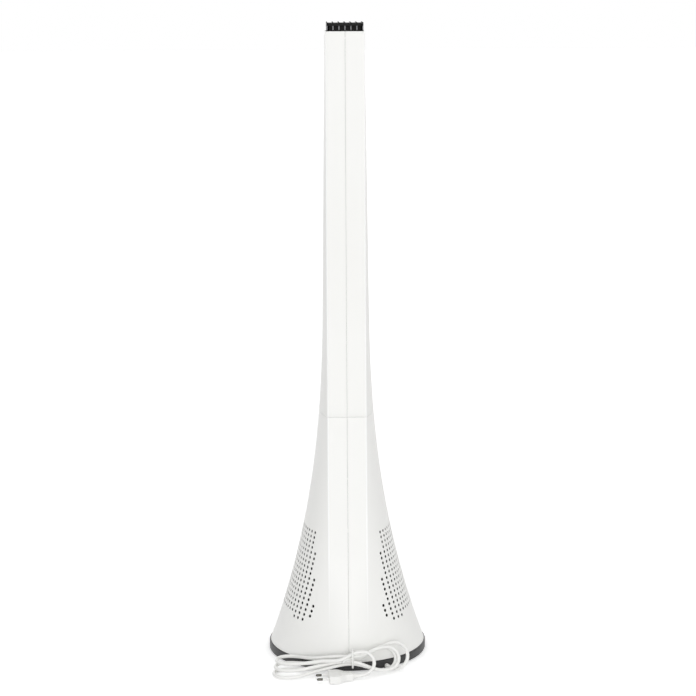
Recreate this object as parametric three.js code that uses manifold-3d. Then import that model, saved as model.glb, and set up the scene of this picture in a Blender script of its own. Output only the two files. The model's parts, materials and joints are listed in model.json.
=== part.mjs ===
// A bladeless tower fan: a trumpet-shaped body that swings on a round base, with its mains lead tied as a hank.
// Millimetres, +Z up, origin on the floor under the swivel axis. The back faces -Y and the air outlet faces +Y.
import * as THREE from 'three';
import { mergeVertices } from 'three/addons/utils/BufferGeometryUtils.js';
import Module from 'manifold-3d';

const wasm = await Module();
wasm.setup();

// ---------------------------------------------------------------- driving dimensions

const GAP = 0.3; // running and seating clearance between neighbours

// Outer body: half width and half depth are a slow taper plus a trumpet flare.
const BODY_TOP = 987;
const TOP_HALF_WIDTH = 31;
const WIDTH_TAPER = 0.0128;
const WIDTH_FLARE_TOP = 560;
const WIDTH_FLARE_POWER = 2.4;
const TOP_HALF_DEPTH = 46;
const DEPTH_TAPER = 0.005;
const DEPTH_FLARE_TOP = 640;
const DEPTH_FLARE_POWER = 1.6;
const STRIP_HALF_WIDTH = 30; // flat strip between the two creases, front and back
const STRIP_ROUND_FROM = 180; // below this height the strip starts to swell
const STRIP_ROUND_TO = 60; // and from here down the section is a full ellipse
const WALL = 2.5;
const WAIST_Z = 394; // seam between the lower and the column shells
const FRONT_LIP = 5; // the column shells stop this far behind the front face

// Base
const BASE_RADIUS = 126;
const FLARE_REACH = 3.46; // the flare's sides, carried down to the floor, would stand this far outside the base
const STRIP_REACH = -2.08; // and its flat strips this far inside
const RIM_WALL = 3.5;
const RIM_TOP = 14;
const FOOT_STAND = 1.5;
const FOOT_RADIUS = 9;
const FOOT_CIRCLE = 104;
const FOOT_COUNT = 4;
const FOOT_STUB_RADIUS = 4;
const COVER_WALL = 2.2;
const TRAY_FLOOR_Z = 10;
const TRAY_FLOOR = 2.5;
const BALLAST_INNER = 38;
const BALLAST_OUTER = 94;
const BALLAST_THICK = 5;
const COVER_SCREW_COUNT = 3;
const COVER_SCREW_CIRCLE = 28;
const COVER_SCREW_HEAD = 3.2;
const SPINDLE_RADIUS = 19;
const SPINDLE_BORE = 14.5;
const SPINDLE_TOP = 23;

// Swivel
const GLIDE_INNER = 84;
const GLIDE_OUTER = 92;
const GLIDE_THICK = 2.2;
const TURNTABLE_Z = 20;
const TURNTABLE_THICK = 3;
const GEAR_MODULE = 1.5;
const SECTOR_TEETH = 60; // on a full circle; only the part that the swing needs is cut
const SECTOR_ANGLE = 130; // degrees
const PINION_TEETH = 12;
const GEAR_THICK = 5;
const SWING_MOTOR_RADIUS = 25;
const SWING_MOTOR_HEIGHT = 19;
const PIVOT_WASHER_RADIUS = 26;
const PIVOT_WASHER_THICK = 1.6;
const PIVOT_SCREW_COUNT = 3;

// Air path
const VENT_TOP_ROW = 208.8;
const VENT_ROW_PITCH = 24; // every third row and column of the real grid of small holes
const VENT_ROWS = 6;
const VENT_COLUMN_PITCH = 26.4;
const VENT_COLUMNS = 7;
const VENT_HOLE = 8;
const FILTER_THICK = 2;
const FILTER_BOTTOM = 66;
const PARTITION_Z = 214;
const PARTITION_THICK = 3;
const CASING_RADIUS = 50; // bore
const CASING_WALL = 2;
const CASING_BOTTOM = 166;
const CASING_TOP = 262;
const BELL_FLARE = 10; // the inlet mouth stands this far outside the bore
const ISOLATOR_WALL = 3;
const TIP_CLEARANCE = 1.4; // between the impeller and the bore
const IMPELLER_BOTTOM = 174;
const IMPELLER_TOP = 213;
const IMPELLER_HUB = 22;
const IMPELLER_BLADES = 9;
const DIFFUSER_BOTTOM = 217;
const DIFFUSER_VANES = 7;
const MOTOR_RADIUS = 26;
const MOTOR_HEIGHT = 37;
const SHAFT_RADIUS = 2.5;
const CUP_WALL = 2;
const LINER_BOTTOM = 300;
const LINER_WALL = 1.6;
const LINER_INSET = WALL + 0.7;

// Outlet grille and top cap
const BAR_PITCH = 9.05;
const BAR_COUNT = 7; // counting the two stiles
const BAR_WIDTH = 2.6;
const BAR_DEPTH = 10;
const GRILLE_BOTTOM = WAIST_Z + 4;
const GRILLE_TOP = BODY_TOP - 0.6;
const RAIL_HEIGHT = 3;
const RAIL_HEIGHTS = [500, 620, 740, 860];
const CAP_HEIGHT = 13;
const CAP_RIB_HEIGHT = 1.6; // above the cap's deck
const CAP_LIP_HEIGHT = 4; // the lip below the deck, as proud as the ribs
const CAP_HALF_WIDTH = 28;
const CAP_RIB_WIDTH = 1.7;
const CAP_RIB_PROUD = 2.4;
const CAP_TONGUE = 9;
const GUIDE_VANES = 8;
const GUIDE_VANE_PITCH = 66;
const GUIDE_VANE_FIRST = 440;

// Control panel, in the front strip of the lower shells
const PANEL_BOTTOM = 261;
const PANEL_TOP = 373;
const PANEL_WIDTH = 44;
const PANEL_THICK = 6;
const PANEL_PROUD = 0.8;
const BUTTON_RADIUS = 6.2;
const BUTTON_PROUD = 1.4;
const BUTTON_TRAVEL = 0.8;
const BUTTON_THICK = 5.2;
const BUTTON_COLUMN = 10.5;
const BUTTON_ROWS = [12, -10, -32];
const WINDOW_WIDTH = 34;
const WINDOW_HEIGHT = 18;
const WINDOW_Y = 38;
const BOARD_BEHIND = 12;
const BOARD_THICK = 1.6;
const SWITCH_HEIGHT = 4;

// Mains lead
const CORD_DIAMETER = 5.5;
const CORD_EXIT_ANGLE = -62.25; // degrees round the base, from +X
const LEAD_TURN = -1.85; // degrees by which the whole lead is set round the base
const CORD_EXIT_Z = 5.2;
const HANK_PITCH = 6.75; // from one loop to the next
const HANK_LOOPS = 2.6; // the cord leaves the hank on its way to the right, after the third left end
const FAN_MIDDLE = 1.55; // the loop about which the others fan out
const HANK_LEFT_END = -114;
const HANK_RIGHT_END = 86;
const LOOP_GROWTH = 5; // each loop reaches further to the right than the one under it, and a little to the left

const RUN_SHARE = 0.34; // of a loop's steps, in each long run; the round ends share the rest
const HANK_STEPS_PER_LOOP = 24;
const HANK_SIDES = 6;
const WAIST_X = 10;
const WAIST_HALF_STEP = 3.1; // from the middle of the tied bundle to each of its two rows of strands
const TIE_DIAMETER = 3;
const PLUG_PIN_SPACING = 18.6;
const PLUG_PIN_DIAMETER = 4;
const PLUG_PIN_LENGTH = 19;
const PLUG_LENGTH = 37;
const PLUG_WIDTH = 35;
const PLUG_THICK = 13.6;
const PLUG_PLACE = [-8.5, -165]; // middle of the body, on the floor
const PLUG_YAW = 7; // degrees
const RELIEF_LENGTH = 9;
const RELIEF_DIAMETER = 9;

// ---------------------------------------------------------------- helpers

const rad = THREE.MathUtils.degToRad;

function solidOf(geometry) {
  const bare = geometry.index ? geometry.toNonIndexed() : geometry.clone();
  bare.deleteAttribute('normal');
  bare.deleteAttribute('uv');
  const merged = mergeVertices(bare, 1e-3);
  const triVerts = new Uint32Array(merged.index.array);
  const vertProperties = new Float32Array(merged.attributes.position.array);
  return new wasm.Manifold(new wasm.Mesh({ numProp: 3, vertProperties, triVerts }));
}

function geometryOf(solid) {
  const mesh = solid.getMesh();
  const geometry = new THREE.BufferGeometry();
  geometry.setAttribute('position', new THREE.BufferAttribute(mesh.vertProperties.slice(), 3));
  geometry.setIndex(new THREE.BufferAttribute(mesh.triVerts.slice(), 1));
  return geometry;
}

function joined(...geometries) {
  return geometryOf(geometries.map(solidOf).reduce((whole, piece) => whole.add(piece)));
}

function cut(geometry, ...cutters) {
  return geometryOf(cutters.map(solidOf).reduce((whole, cutter) => whole.subtract(cutter), solidOf(geometry)));
}

function box(x0, x1, y0, y1, z0, z1) {
  const geometry = new THREE.BoxGeometry(x1 - x0, y1 - y0, z1 - z0);
  return geometry.translate((x0 + x1) / 2, (y0 + y1) / 2, (z0 + z1) / 2);
}

function drum(radius, z0, z1, sides = 32, x = 0, y = 0) {
  const geometry = new THREE.CylinderGeometry(radius, radius, z1 - z0, sides);
  return geometry.rotateX(Math.PI / 2).translate(x, y, (z0 + z1) / 2);
}

// A profile of [radius, z] points, spun about Z. It starts and ends on the axis or closes on itself.
function spun(profile, sides) {
  const area = profile.reduce((sum, [r, z], i) => {
    const [nextR, nextZ] = profile[(i + 1) % profile.length];
    return sum + r * nextZ - nextR * z;
  }, 0);
  const ordered = area > 0 ? profile : [...profile].reverse();
  const onAxis = ordered.some(([r]) => r === 0);
  const start = onAxis ? ordered.findIndex(([r], i) => r === 0 && ordered.at(i - 1)[0] === 0) : 0;
  const path = [...ordered.slice(start), ...ordered.slice(0, start)];
  if (!onAxis) path.push(path[0]);
  const points = path.map(([r, z]) => new THREE.Vector2(r, z));
  return new THREE.LatheGeometry(points, sides).rotateX(Math.PI / 2);
}

function ring(inner, outer, z0, z1, sides = 48) {
  return spun([[inner, z0], [outer, z0], [outer, z1], [inner, z1]], sides);
}

// Closed skin over a stack of rings with the same number of points. The rings run anticlockwise when seen from
// the last ring's side, and both ends are closed by triangles between the points of the end ring.
function skin(rings, plane = ['x', 'y']) {
  const count = rings[0].length;
  const flat = rings[0].map((p) => new THREE.Vector2(p[plane[0]], p[plane[1]]));
  const flatTop = rings.at(-1).map((p) => new THREE.Vector2(p[plane[0]], p[plane[1]]));
  const index = [];
  for (let level = 0; level < rings.length - 1; level += 1) {
    for (let i = 0; i < count; i += 1) {
      const a = level * count + i;
      const b = level * count + ((i + 1) % count);
      index.push(a, b, b + count, a, b + count, a + count);
    }
  }
  const last = (rings.length - 1) * count;
  for (const [a, b, c] of THREE.ShapeUtils.triangulateShape(flat, [])) index.push(a, c, b);
  for (const [a, b, c] of THREE.ShapeUtils.triangulateShape(flatTop, [])) index.push(last + a, last + b, last + c);
  const geometry = new THREE.BufferGeometry();
  geometry.setAttribute('position', new THREE.Float32BufferAttribute(rings.flat().flatMap((p) => [p.x, p.y, p.z]), 3));
  geometry.setIndex(index);
  return geometry;
}

// A side outline of [y, z] points, given a thickness in X from x0 to x1.
function slab(outline, x0, x1) {
  const area = outline.reduce((sum, [y, z], i) => {
    const [nextY, nextZ] = outline[(i + 1) % outline.length];
    return sum + y * nextZ - nextY * z;
  }, 0);
  const ordered = area > 0 ? outline : [...outline].reverse();
  const at = (x) => ordered.map(([y, z]) => new THREE.Vector3(x, y, z));
  return skin([at(x0), at(x1)], ['y', 'z']);
}

// A round tube along a list of points, by frames carried from one point to the next.
function sweep(points, radius, sides, closed = false) {
  const curve = new THREE.CatmullRomCurve3(points, closed);
  const steps = closed ? points.length : points.length - 1;
  const tangents = points.map((_, i) => {
    const before = points[closed ? (i - 1 + points.length) % points.length : Math.max(i - 1, 0)];
    const after = points[closed ? (i + 1) % points.length : Math.min(i + 1, points.length - 1)];
    return after.clone().sub(before).normalize();
  });
  let side = new THREE.Vector3(0, 0, 1);
  const rings = points.map((point, i) => {
    side = side.clone().sub(tangents[i].clone().multiplyScalar(side.dot(tangents[i]))).normalize();
    const across = tangents[i].clone().cross(side);
    return Array.from({ length: sides }, (_, k) => {
      const angle = (2 * Math.PI * k) / sides;
      return point.clone()
        .addScaledVector(side, radius * Math.cos(angle))
        .addScaledVector(across, radius * Math.sin(angle));
    });
  });
  const index = [];
  for (let i = 0; i < steps; i += 1) {
    const next = (i + 1) % rings.length;
    for (let k = 0; k < sides; k += 1) {
      const a = i * sides + k;
      const b = i * sides + ((k + 1) % sides);
      const c = next * sides + ((k + 1) % sides);
      const d = next * sides + k;
      index.push(a, b, c, a, c, d);
    }
  }
  if (!closed) {
    const last = (rings.length - 1) * sides;
    for (let k = 1; k < sides - 1; k += 1) {
      index.push(0, k + 1, k, last, last + k, last + k + 1);
    }
  }
  const geometry = new THREE.BufferGeometry();
  geometry.setAttribute('position', new THREE.Float32BufferAttribute(rings.flat().flatMap((p) => p.toArray()), 3));
  geometry.setIndex(index);
  geometry.userData.length = curve.getLength();
  return geometry;
}

function roundSection(radius, sides) {
  const points = Array.from({ length: sides }, (_, k) => {
    const angle = (2 * Math.PI * k) / sides;
    return new THREE.Vector2(radius * Math.cos(angle), radius * Math.sin(angle));
  });
  return new THREE.Shape(points);
}

// A plain cord or cable through hand-chosen points.
function cordTube(points, diameter, sides, steps) {
  const path = new THREE.CatmullRomCurve3(points.map((p) => new THREE.Vector3(...p)), false, 'centripetal');
  return new THREE.ExtrudeGeometry(roundSection(diameter / 2, sides), { steps, extrudePath: path });
}

function material(color, roughness, metalness = 0) {
  return new THREE.MeshStandardMaterial({ color, roughness, metalness });
}

const WHITE_ABS = material('#f3f3f1', 0.42);
const BLACK_ABS = material('#1b1b1c', 0.45);
const GREY_ABS = material('#4a4a4c', 0.5);
const NATURAL_PLASTIC = material('#dcdcd4', 0.55);
const STEEL = material('#b9bcc0', 0.35, 1);
const ZINC = material('#8f9499', 0.4, 1);
const RUBBER = material('#262626', 0.85);
const FOAM = material('#3a3c3e', 0.95);
const BOARD_GREEN = material('#1f5a37', 0.5);
const CORD_PVC = material('#f1f1ef', 0.5);
const SMOKED = material('#0d0d10', 0.08);
const ACETAL = material('#e9e7dd', 0.4);

function named(name, geometry, look) {
  const mesh = new THREE.Mesh(geometry, look);
  mesh.name = name;
  return mesh;
}

// ---------------------------------------------------------------- the body's section

const WIDTH_FLARE = BASE_RADIUS + FLARE_REACH - TOP_HALF_WIDTH - WIDTH_TAPER * BODY_TOP;
const DEPTH_FLARE = BASE_RADIUS + STRIP_REACH - TOP_HALF_DEPTH - DEPTH_TAPER * BODY_TOP;
const flareOf = (z, top, power) => Math.max(0, 1 - z / top) ** power;
const halfWidth = (z) => TOP_HALF_WIDTH + WIDTH_TAPER * (BODY_TOP - z)
  + WIDTH_FLARE * flareOf(z, WIDTH_FLARE_TOP, WIDTH_FLARE_POWER);
const halfDepth = (z) => TOP_HALF_DEPTH + DEPTH_TAPER * (BODY_TOP - z)
  + DEPTH_FLARE * flareOf(z, DEPTH_FLARE_TOP, DEPTH_FLARE_POWER);

// The flank is an ellipse about the axis. inset moves the whole section inwards.
function sectionAt(z, inset = 0) {
  const a = halfWidth(z) - inset;
  const depth = halfDepth(z) - inset;
  const crease = STRIP_HALF_WIDTH - 0.8 * inset;
  const creaseAngle = Math.acos(crease / a);
  const b = depth / Math.sin(creaseAngle);
  const roundness = THREE.MathUtils.smoothstep(STRIP_ROUND_FROM - z, 0, STRIP_ROUND_FROM - STRIP_ROUND_TO);
  return { a, b, depth, crease, creaseAngle, roundness };
}

const FLANK_STEPS = 10;
const STRIP_STEPS = 2;

// Points of the right half of the section at height z, from the back centre to the front centre. The back and
// front ends can be held short of the centre by fromX and toX, or the front end cut off at a depth, toY.
function halfOutline(z, { inset = 0, fromX = 0, toX = 0, toY = null, spread = 1, flankSteps = FLANK_STEPS } = {}) {
  const s = sectionAt(z, inset);
  const stripY = (x) => {
    const round = s.b * Math.sqrt(1 - (x / s.a) ** 2);
    return s.depth + (round - s.depth) * s.roundness;
  };
  const flankTo = toY === null ? s.creaseAngle * spread : Math.asin(toY(z) / s.b);
  const flankFrom = -s.creaseAngle * spread;
  const points = [];
  if (spread === 1) {
    for (let i = 0; i < STRIP_STEPS; i += 1) {
      const x = fromX + ((s.crease - fromX) * i) / STRIP_STEPS;
      points.push(new THREE.Vector3(x, -stripY(x), z));
    }
  }
  for (let i = 0; i <= flankSteps; i += 1) {
    const angle = flankFrom + ((flankTo - flankFrom) * i) / flankSteps;
    points.push(new THREE.Vector3(s.a * Math.cos(angle), s.b * Math.sin(angle), z));
  }
  if (toY === null && spread === 1) {
    for (let i = 1; i <= STRIP_STEPS; i += 1) {
      const x = s.crease + ((toX - s.crease) * i) / STRIP_STEPS;
      points.push(new THREE.Vector3(x, stripY(x), z));
    }
  }
  return points;
}

const mirrored = (points) => points.map((p) => new THREE.Vector3(-p.x, p.y, p.z)).reverse();

// A wall between two insets of the section, on one side of the body. side is 1 (right) or -1 (left).
function wallRing(z, side, outer, inner, options) {
  const right = [...halfOutline(z, { ...options, inset: outer }), ...halfOutline(z, { ...options, inset: inner }).reverse()];
  return side > 0 ? right : mirrored(right);
}

function fullOutline(z, inset) {
  const right = halfOutline(z, { inset });
  const left = mirrored(right).slice(1, -1);
  return [...right, ...left];
}

// The heights at which the column is faceted, shared by the shells and what lines them.
const COLUMN_STATIONS = [340, WAIST_Z, 420, 470, 530, 620, 760];

function columnStations(from, to) {
  return [from, ...COLUMN_STATIONS.filter((z) => z > from + 1 && z < to - 1), to];
}

function heights(from, to, count) {
  return Array.from({ length: count + 1 }, (_, i) => from + ((to - from) * i) / count);
}

// ---------------------------------------------------------------- base

const exitDirection = new THREE.Vector2(Math.cos(rad(CORD_EXIT_ANGLE)), Math.sin(rad(CORD_EXIT_ANGLE)));
const TRAY_TOP = TRAY_FLOOR_Z + TRAY_FLOOR;
const COVER_BOTTOM = FOOT_STAND + GAP;
const COVER_TOP = COVER_BOTTOM + COVER_WALL;
const COVER_RADIUS = BASE_RADIUS - RIM_WALL - GAP;
const NOTCH_HALF_WIDTH = CORD_DIAMETER / 2 + 1.6;
const NOTCH_TOP = CORD_EXIT_Z + CORD_DIAMETER / 2 + 1.2;

// A bar along the direction in which the cord leaves the base, from radius r0 to r1.
function exitBar(r0, r1, halfWidthOfBar, z0, z1) {
  return box(r0, r1, -halfWidthOfBar, halfWidthOfBar, z0, z1).rotateZ(rad(CORD_EXIT_ANGLE));
}

function baseRing() {
  const tray = spun([
    [SPINDLE_BORE, TRAY_FLOOR_Z], [BASE_RADIUS - RIM_WALL, TRAY_FLOOR_Z], [BASE_RADIUS - RIM_WALL, FOOT_STAND],
    [BASE_RADIUS, FOOT_STAND], [BASE_RADIUS, RIM_TOP - 1], [BASE_RADIUS - 1, RIM_TOP],
    [BASE_RADIUS - RIM_WALL, RIM_TOP], [BASE_RADIUS - RIM_WALL, TRAY_TOP], [SPINDLE_RADIUS, TRAY_TOP],
    [SPINDLE_RADIUS, SPINDLE_TOP], [SPINDLE_BORE, SPINDLE_TOP],
  ], 36);
  const notch = exitBar(BASE_RADIUS - RIM_WALL - 2, BASE_RADIUS + 2, NOTCH_HALF_WIDTH, 0, NOTCH_TOP);
  const screwPosts = around(COVER_SCREW_COUNT, COVER_SCREW_CIRCLE, 30).map(([x, y]) => (
    cut(drum(5, COVER_TOP + GAP, TRAY_FLOOR_Z + 0.5, 10, x, y), drum(1.7, COVER_TOP, TRAY_FLOOR_Z - 0.4, 8, x, y))
  ));
  return joined(cut(tray, notch), ...screwPosts);
}

// count points on a circle, the first at startAngle degrees.
function around(count, radius, startAngle) {
  return Array.from({ length: count }, (_, i) => {
    const angle = rad(startAngle) + (2 * Math.PI * i) / count;
    return [radius * Math.cos(angle), radius * Math.sin(angle)];
  });
}

const footPlaces = around(FOOT_COUNT, FOOT_CIRCLE, 45);
const coverScrewPlaces = around(COVER_SCREW_COUNT, COVER_SCREW_CIRCLE, 30);

function bottomCover() {
  const plate = drum(COVER_RADIUS, COVER_BOTTOM, COVER_TOP, 36);
  const footHoles = footPlaces.map(([x, y]) => drum(FOOT_STUB_RADIUS + GAP, 0, COVER_TOP + 1, 10, x, y));
  const screwHoles = coverScrewPlaces.map(([x, y]) => drum(COVER_SCREW_HEAD + GAP, 0, COVER_TOP + 1, 8, x, y));
  const notch = exitBar(COVER_RADIUS - 12, COVER_RADIUS + 2, NOTCH_HALF_WIDTH + GAP, 0, COVER_TOP + 1);
  return cut(plate, ...footHoles, ...screwHoles, notch);
}

function ballast() {
  const z0 = COVER_TOP + GAP;
  const plate = ring(BALLAST_INNER, BALLAST_OUTER, z0, z0 + BALLAST_THICK, 36);
  return cut(plate, exitBar(0, BALLAST_OUTER + 1, CORD_DIAMETER / 2 + 1, z0 - 1, z0 + BALLAST_THICK + 1));
}

function foot([x, y]) {
  return spun([[0, 0], [FOOT_RADIUS - 0.6, 0], [FOOT_RADIUS, 0.6], [FOOT_RADIUS, FOOT_STAND],
    [FOOT_STUB_RADIUS, FOOT_STAND], [FOOT_STUB_RADIUS, COVER_TOP + 0.4], [0, COVER_TOP + 0.4]], 12).translate(x, y, 0);
}

function coverScrew([x, y]) {
  const headTop = COVER_BOTTOM + 2;
  return spun([[0, COVER_BOTTOM + 0.2], [COVER_SCREW_HEAD, COVER_BOTTOM + 0.2], [COVER_SCREW_HEAD, headTop],
    [1.4, headTop], [1.4, TRAY_FLOOR_Z - 0.8], [0, TRAY_FLOOR_Z - 0.8]], 8).translate(x, y, 0);
}

function cordGrommet() {
  const inner = BASE_RADIUS - RIM_WALL - 6;
  const outer = BASE_RADIUS + 1;
  return exitBar(inner, outer, NOTCH_HALF_WIDTH - GAP, COVER_BOTTOM, NOTCH_TOP - GAP);
}

function innerMainsLead() {
  const start = BASE_RADIUS - RIM_WALL - 6 - GAP;
  const along = (r, z) => [exitDirection.x * r, exitDirection.y * r, z];
  const z = COVER_TOP + CORD_DIAMETER / 2 + GAP;
  return cordTube([along(start, CORD_EXIT_Z + 1.8), along(start - 12, z), along(70, z), along(30, z), along(14, z),
    along(8, z + 1.4), along(3, z + 5.7), along(0.5, z + 13.5), [0, 0, 32], [0, 0, 44]], CORD_DIAMETER, 8, 20);
}

function base() {
  const group = new THREE.Group();
  group.add(named('base_ring', baseRing(), GREY_ABS));
  group.add(named('bottom_cover', bottomCover(), BLACK_ABS));
  group.add(named('ballast_plate', ballast(), ZINC));
  footPlaces.forEach((place, i) => group.add(named(`foot_${i + 1}`, foot(place), RUBBER)));
  coverScrewPlaces.forEach((place, i) => group.add(named(`cover_screw_${i + 1}`, coverScrew(place), STEEL)));
  group.add(named('cord_grommet', cordGrommet(), BLACK_ABS));
  group.add(named('inner_mains_lead', innerMainsLead(), CORD_PVC));
  return group;
}

// ---------------------------------------------------------------- swivel

const GEAR_Z = TRAY_TOP + GAP;
const sectorRadius = (GEAR_MODULE * SECTOR_TEETH) / 2;
const pinionRadius = (GEAR_MODULE * PINION_TEETH) / 2;
const gearCentres = sectorRadius + pinionRadius + 0.2;
const ADDENDUM = 0.85 * GEAR_MODULE;
const DEDENDUM = 1.2 * GEAR_MODULE;

// Points of the teeth of a spur gear, as straight-sided teeth, centred on tooth 0 at the given angle.
function toothPoints(teeth, first, last, startAngle) {
  const pitch = (2 * Math.PI) / teeth;
  const radius = (GEAR_MODULE * teeth) / 2;
  const points = [];
  for (let i = first; i <= last; i += 1) {
    const middle = rad(startAngle) + i * pitch;
    const steps = [[-0.31, -DEDENDUM], [-0.1, ADDENDUM], [0.1, ADDENDUM], [0.31, -DEDENDUM]];
    for (const [share, height] of steps) {
      const angle = middle + share * pitch;
      points.push(new THREE.Vector2((radius + height) * Math.cos(angle), (radius + height) * Math.sin(angle)));
    }
  }
  return points;
}

function extruded(points, z0, z1, holes = []) {
  const shape = new THREE.Shape(points);
  shape.holes.push(...holes);
  return new THREE.ExtrudeGeometry(shape, { depth: z1 - z0, bevelEnabled: false }).translate(0, 0, z0);
}

function circlePath(x, y, radius) {
  return new THREE.Path().absarc(x, y, radius, 0, 2 * Math.PI, true);
}

// The sector is fixed to the base and faces the front, where the swing motor's pinion runs along it.
function sectorGear() {
  const teethEachSide = Math.floor((SECTOR_ANGLE / 2 / 360) * SECTOR_TEETH);
  const teeth = toothPoints(SECTOR_TEETH, -teethEachSide, teethEachSide, 90);
  const hub = [];
  const hubSteps = 10;
  for (let i = 0; i <= hubSteps; i += 1) {
    const angle = rad(90 + SECTOR_ANGLE / 2 + 6 + ((360 - SECTOR_ANGLE - 12) * i) / hubSteps);
    hub.push(new THREE.Vector2((SPINDLE_RADIUS + 6) * Math.cos(angle), (SPINDLE_RADIUS + 6) * Math.sin(angle)));
  }
  return cut(extruded([...teeth, ...hub], GEAR_Z, GEAR_Z + GEAR_THICK),
    drum(SPINDLE_RADIUS + GAP, GEAR_Z - 1, GEAR_Z + GEAR_THICK + 1, 32));
}

const PINION_STEM = 3.5;
const MOTOR_SEAT_Z = TURNTABLE_Z + TURNTABLE_THICK + GAP;

function pinion() {
  const startAngle = -90 + 180 / PINION_TEETH; // a gap of the pinion faces the sector's middle tooth
  const wheel = extruded(toothPoints(PINION_TEETH, 0, PINION_TEETH - 1, startAngle), GEAR_Z + GAP, GEAR_Z + GEAR_THICK);
  return joined(wheel, drum(PINION_STEM, GEAR_Z + 1, MOTOR_SEAT_Z - GAP, 12)).translate(0, gearCentres, 0);
}

function swingMotor() {
  const can = drum(SWING_MOTOR_RADIUS, MOTOR_SEAT_Z, MOTOR_SEAT_Z + SWING_MOTOR_HEIGHT, 24);
  const ears = box(-SWING_MOTOR_RADIUS - 7, SWING_MOTOR_RADIUS + 7, -5, 5, MOTOR_SEAT_Z, MOTOR_SEAT_Z + 2);
  const terminals = box(-8, 8, SWING_MOTOR_RADIUS - 2, SWING_MOTOR_RADIUS + 7, MOTOR_SEAT_Z + 4, MOTOR_SEAT_Z + 14);
  return joined(can, ears, terminals).translate(0, gearCentres, 0);
}

function turntable() {
  const inset = WALL + GAP;
  const plate = skin([fullOutline(TURNTABLE_Z, inset), fullOutline(TURNTABLE_Z + TURNTABLE_THICK, inset + 0.8)]);
  const runner = ring(GLIDE_INNER + 1, GLIDE_OUTER - 1, TRAY_TOP + GAP + GLIDE_THICK + GAP, TURNTABLE_Z + 1, 32);
  const posts = boardPosts.map(([x, y]) => drum(3, TURNTABLE_Z + 1, POWER_BOARD_Z - GAP, 8, x, y));
  return cut(joined(plate, runner, ...posts),
    drum(SPINDLE_RADIUS + GAP, TURNTABLE_Z - 1, TURNTABLE_Z + TURNTABLE_THICK + 1, 24),
    drum(PINION_STEM + 0.6, TURNTABLE_Z - 1, TURNTABLE_Z + TURNTABLE_THICK + 1, 12, 0, gearCentres));
}

const POWER_BOARD_Z = 32;
const POWER_BOARD_Y = [-86, -36];
const POWER_BOARD_X = 38;
const boardPosts = [[-1, 0], [1, 0], [-1, 1], [1, 1]].map(([side, end]) => (
  [side * (POWER_BOARD_X - 5), end ? POWER_BOARD_Y[1] - 5 : POWER_BOARD_Y[0] + 5]
));

function powerBoard() {
  const top = POWER_BOARD_Z + BOARD_THICK;
  const sink = top - 0.4;
  return joined(
    box(-POWER_BOARD_X, POWER_BOARD_X, POWER_BOARD_Y[0], POWER_BOARD_Y[1], POWER_BOARD_Z, top),
    box(-30, -8, -78, -56, sink, top + 18), // transformer
    drum(6, sink, top + 22, 12, 4, -70), // reservoir capacitor
    drum(6, sink, top + 22, 12, 18, -70),
    box(8, 30, -52, -42, sink, top + 9), // mains terminal block
    box(-28, -12, -50, -42, sink, top + 8), // motor connector
  );
}

function pivotWasher() {
  const z0 = SPINDLE_TOP + GAP;
  const plate = ring(SPINDLE_BORE + 0.5, PIVOT_WASHER_RADIUS, z0, z0 + PIVOT_WASHER_THICK, 24);
  return plate;
}

function pivotScrew([x, y]) {
  const seat = SPINDLE_TOP + 2 * GAP + PIVOT_WASHER_THICK;
  return spun([[0, seat], [2, seat], [2, seat + 1.4], [1.2, seat + 2], [0, seat + 2]], 8).translate(x, y, 0);
}

function swivelOnBase() {
  const group = new THREE.Group();
  const glideZ = TRAY_TOP + GAP;
  group.add(named('glide_ring', ring(GLIDE_INNER, GLIDE_OUTER, glideZ, glideZ + GLIDE_THICK, 32), ACETAL));
  group.add(named('sector_gear', sectorGear(), ACETAL));
  group.add(named('pivot_washer', pivotWasher(), STEEL));
  around(PIVOT_SCREW_COUNT, (SPINDLE_RADIUS + SPINDLE_BORE) / 2, 90).forEach((place, i) => {
    group.add(named(`pivot_screw_${i + 1}`, pivotScrew(place), STEEL));
  });
  return group;
}

function swivelOnBody() {
  const group = new THREE.Group();
  group.add(named('turntable', turntable(), GREY_ABS));
  group.add(named('swing_motor', swingMotor(), STEEL));
  group.add(named('drive_pinion', pinion(), ACETAL));
  group.add(named('power_board', powerBoard(), BOARD_GREEN));
  return group;
}

// ---------------------------------------------------------------- shells

const LOWER_BOTTOM = RIM_TOP + 0.8;
const SEAM_HALF_GAP = GAP / 2;

// Inlet holes: a square grid when seen from the side. The grid's ends follow the slope of the cone.
function ventHoles(side) {
  const cutters = [];
  for (let row = 0; row < VENT_ROWS; row += 1) {
    const z = VENT_TOP_ROW - row * VENT_ROW_PITCH;
    const reach = sectionAt(z).depth - 18;
    for (let column = 0; column < VENT_COLUMNS; column += 1) {
      const y = (column - (VENT_COLUMNS - 1) / 2) * VENT_COLUMN_PITCH;
      if (Math.abs(y) > reach) continue;
      const x0 = side > 0 ? STRIP_HALF_WIDTH : -BASE_RADIUS;
      const half = VENT_HOLE / 2;
      cutters.push(box(x0, x0 + BASE_RADIUS - STRIP_HALF_WIDTH, y - half, y + half, z - half, z + half));
    }
  }
  return cutters;
}

function lowerShell(side) {
  const rings = heights(LOWER_BOTTOM, WAIST_Z - GAP / 2, 9)
    .map((z) => wallRing(z, side, 0, WALL, { fromX: SEAM_HALF_GAP, toX: SEAM_HALF_GAP }));
  const holes = new wasm.Manifold.compose(ventHoles(side).map(solidOf));
  const opening = panelGroup(new THREE.Mesh(roundedPlate(PANEL_WIDTH + 2 * GAP, PANEL_LENGTH + 2 * GAP, 6.3, -14, 8)));
  opening.updateMatrixWorld(true);
  const openingSolid = solidOf(opening.children[0].geometry.clone().applyMatrix4(opening.matrixWorld));
  return geometryOf(solidOf(skin(rings)).subtract(holes).subtract(openingSolid));
}

const columnFront = (z) => halfDepth(z) - FRONT_LIP;

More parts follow.
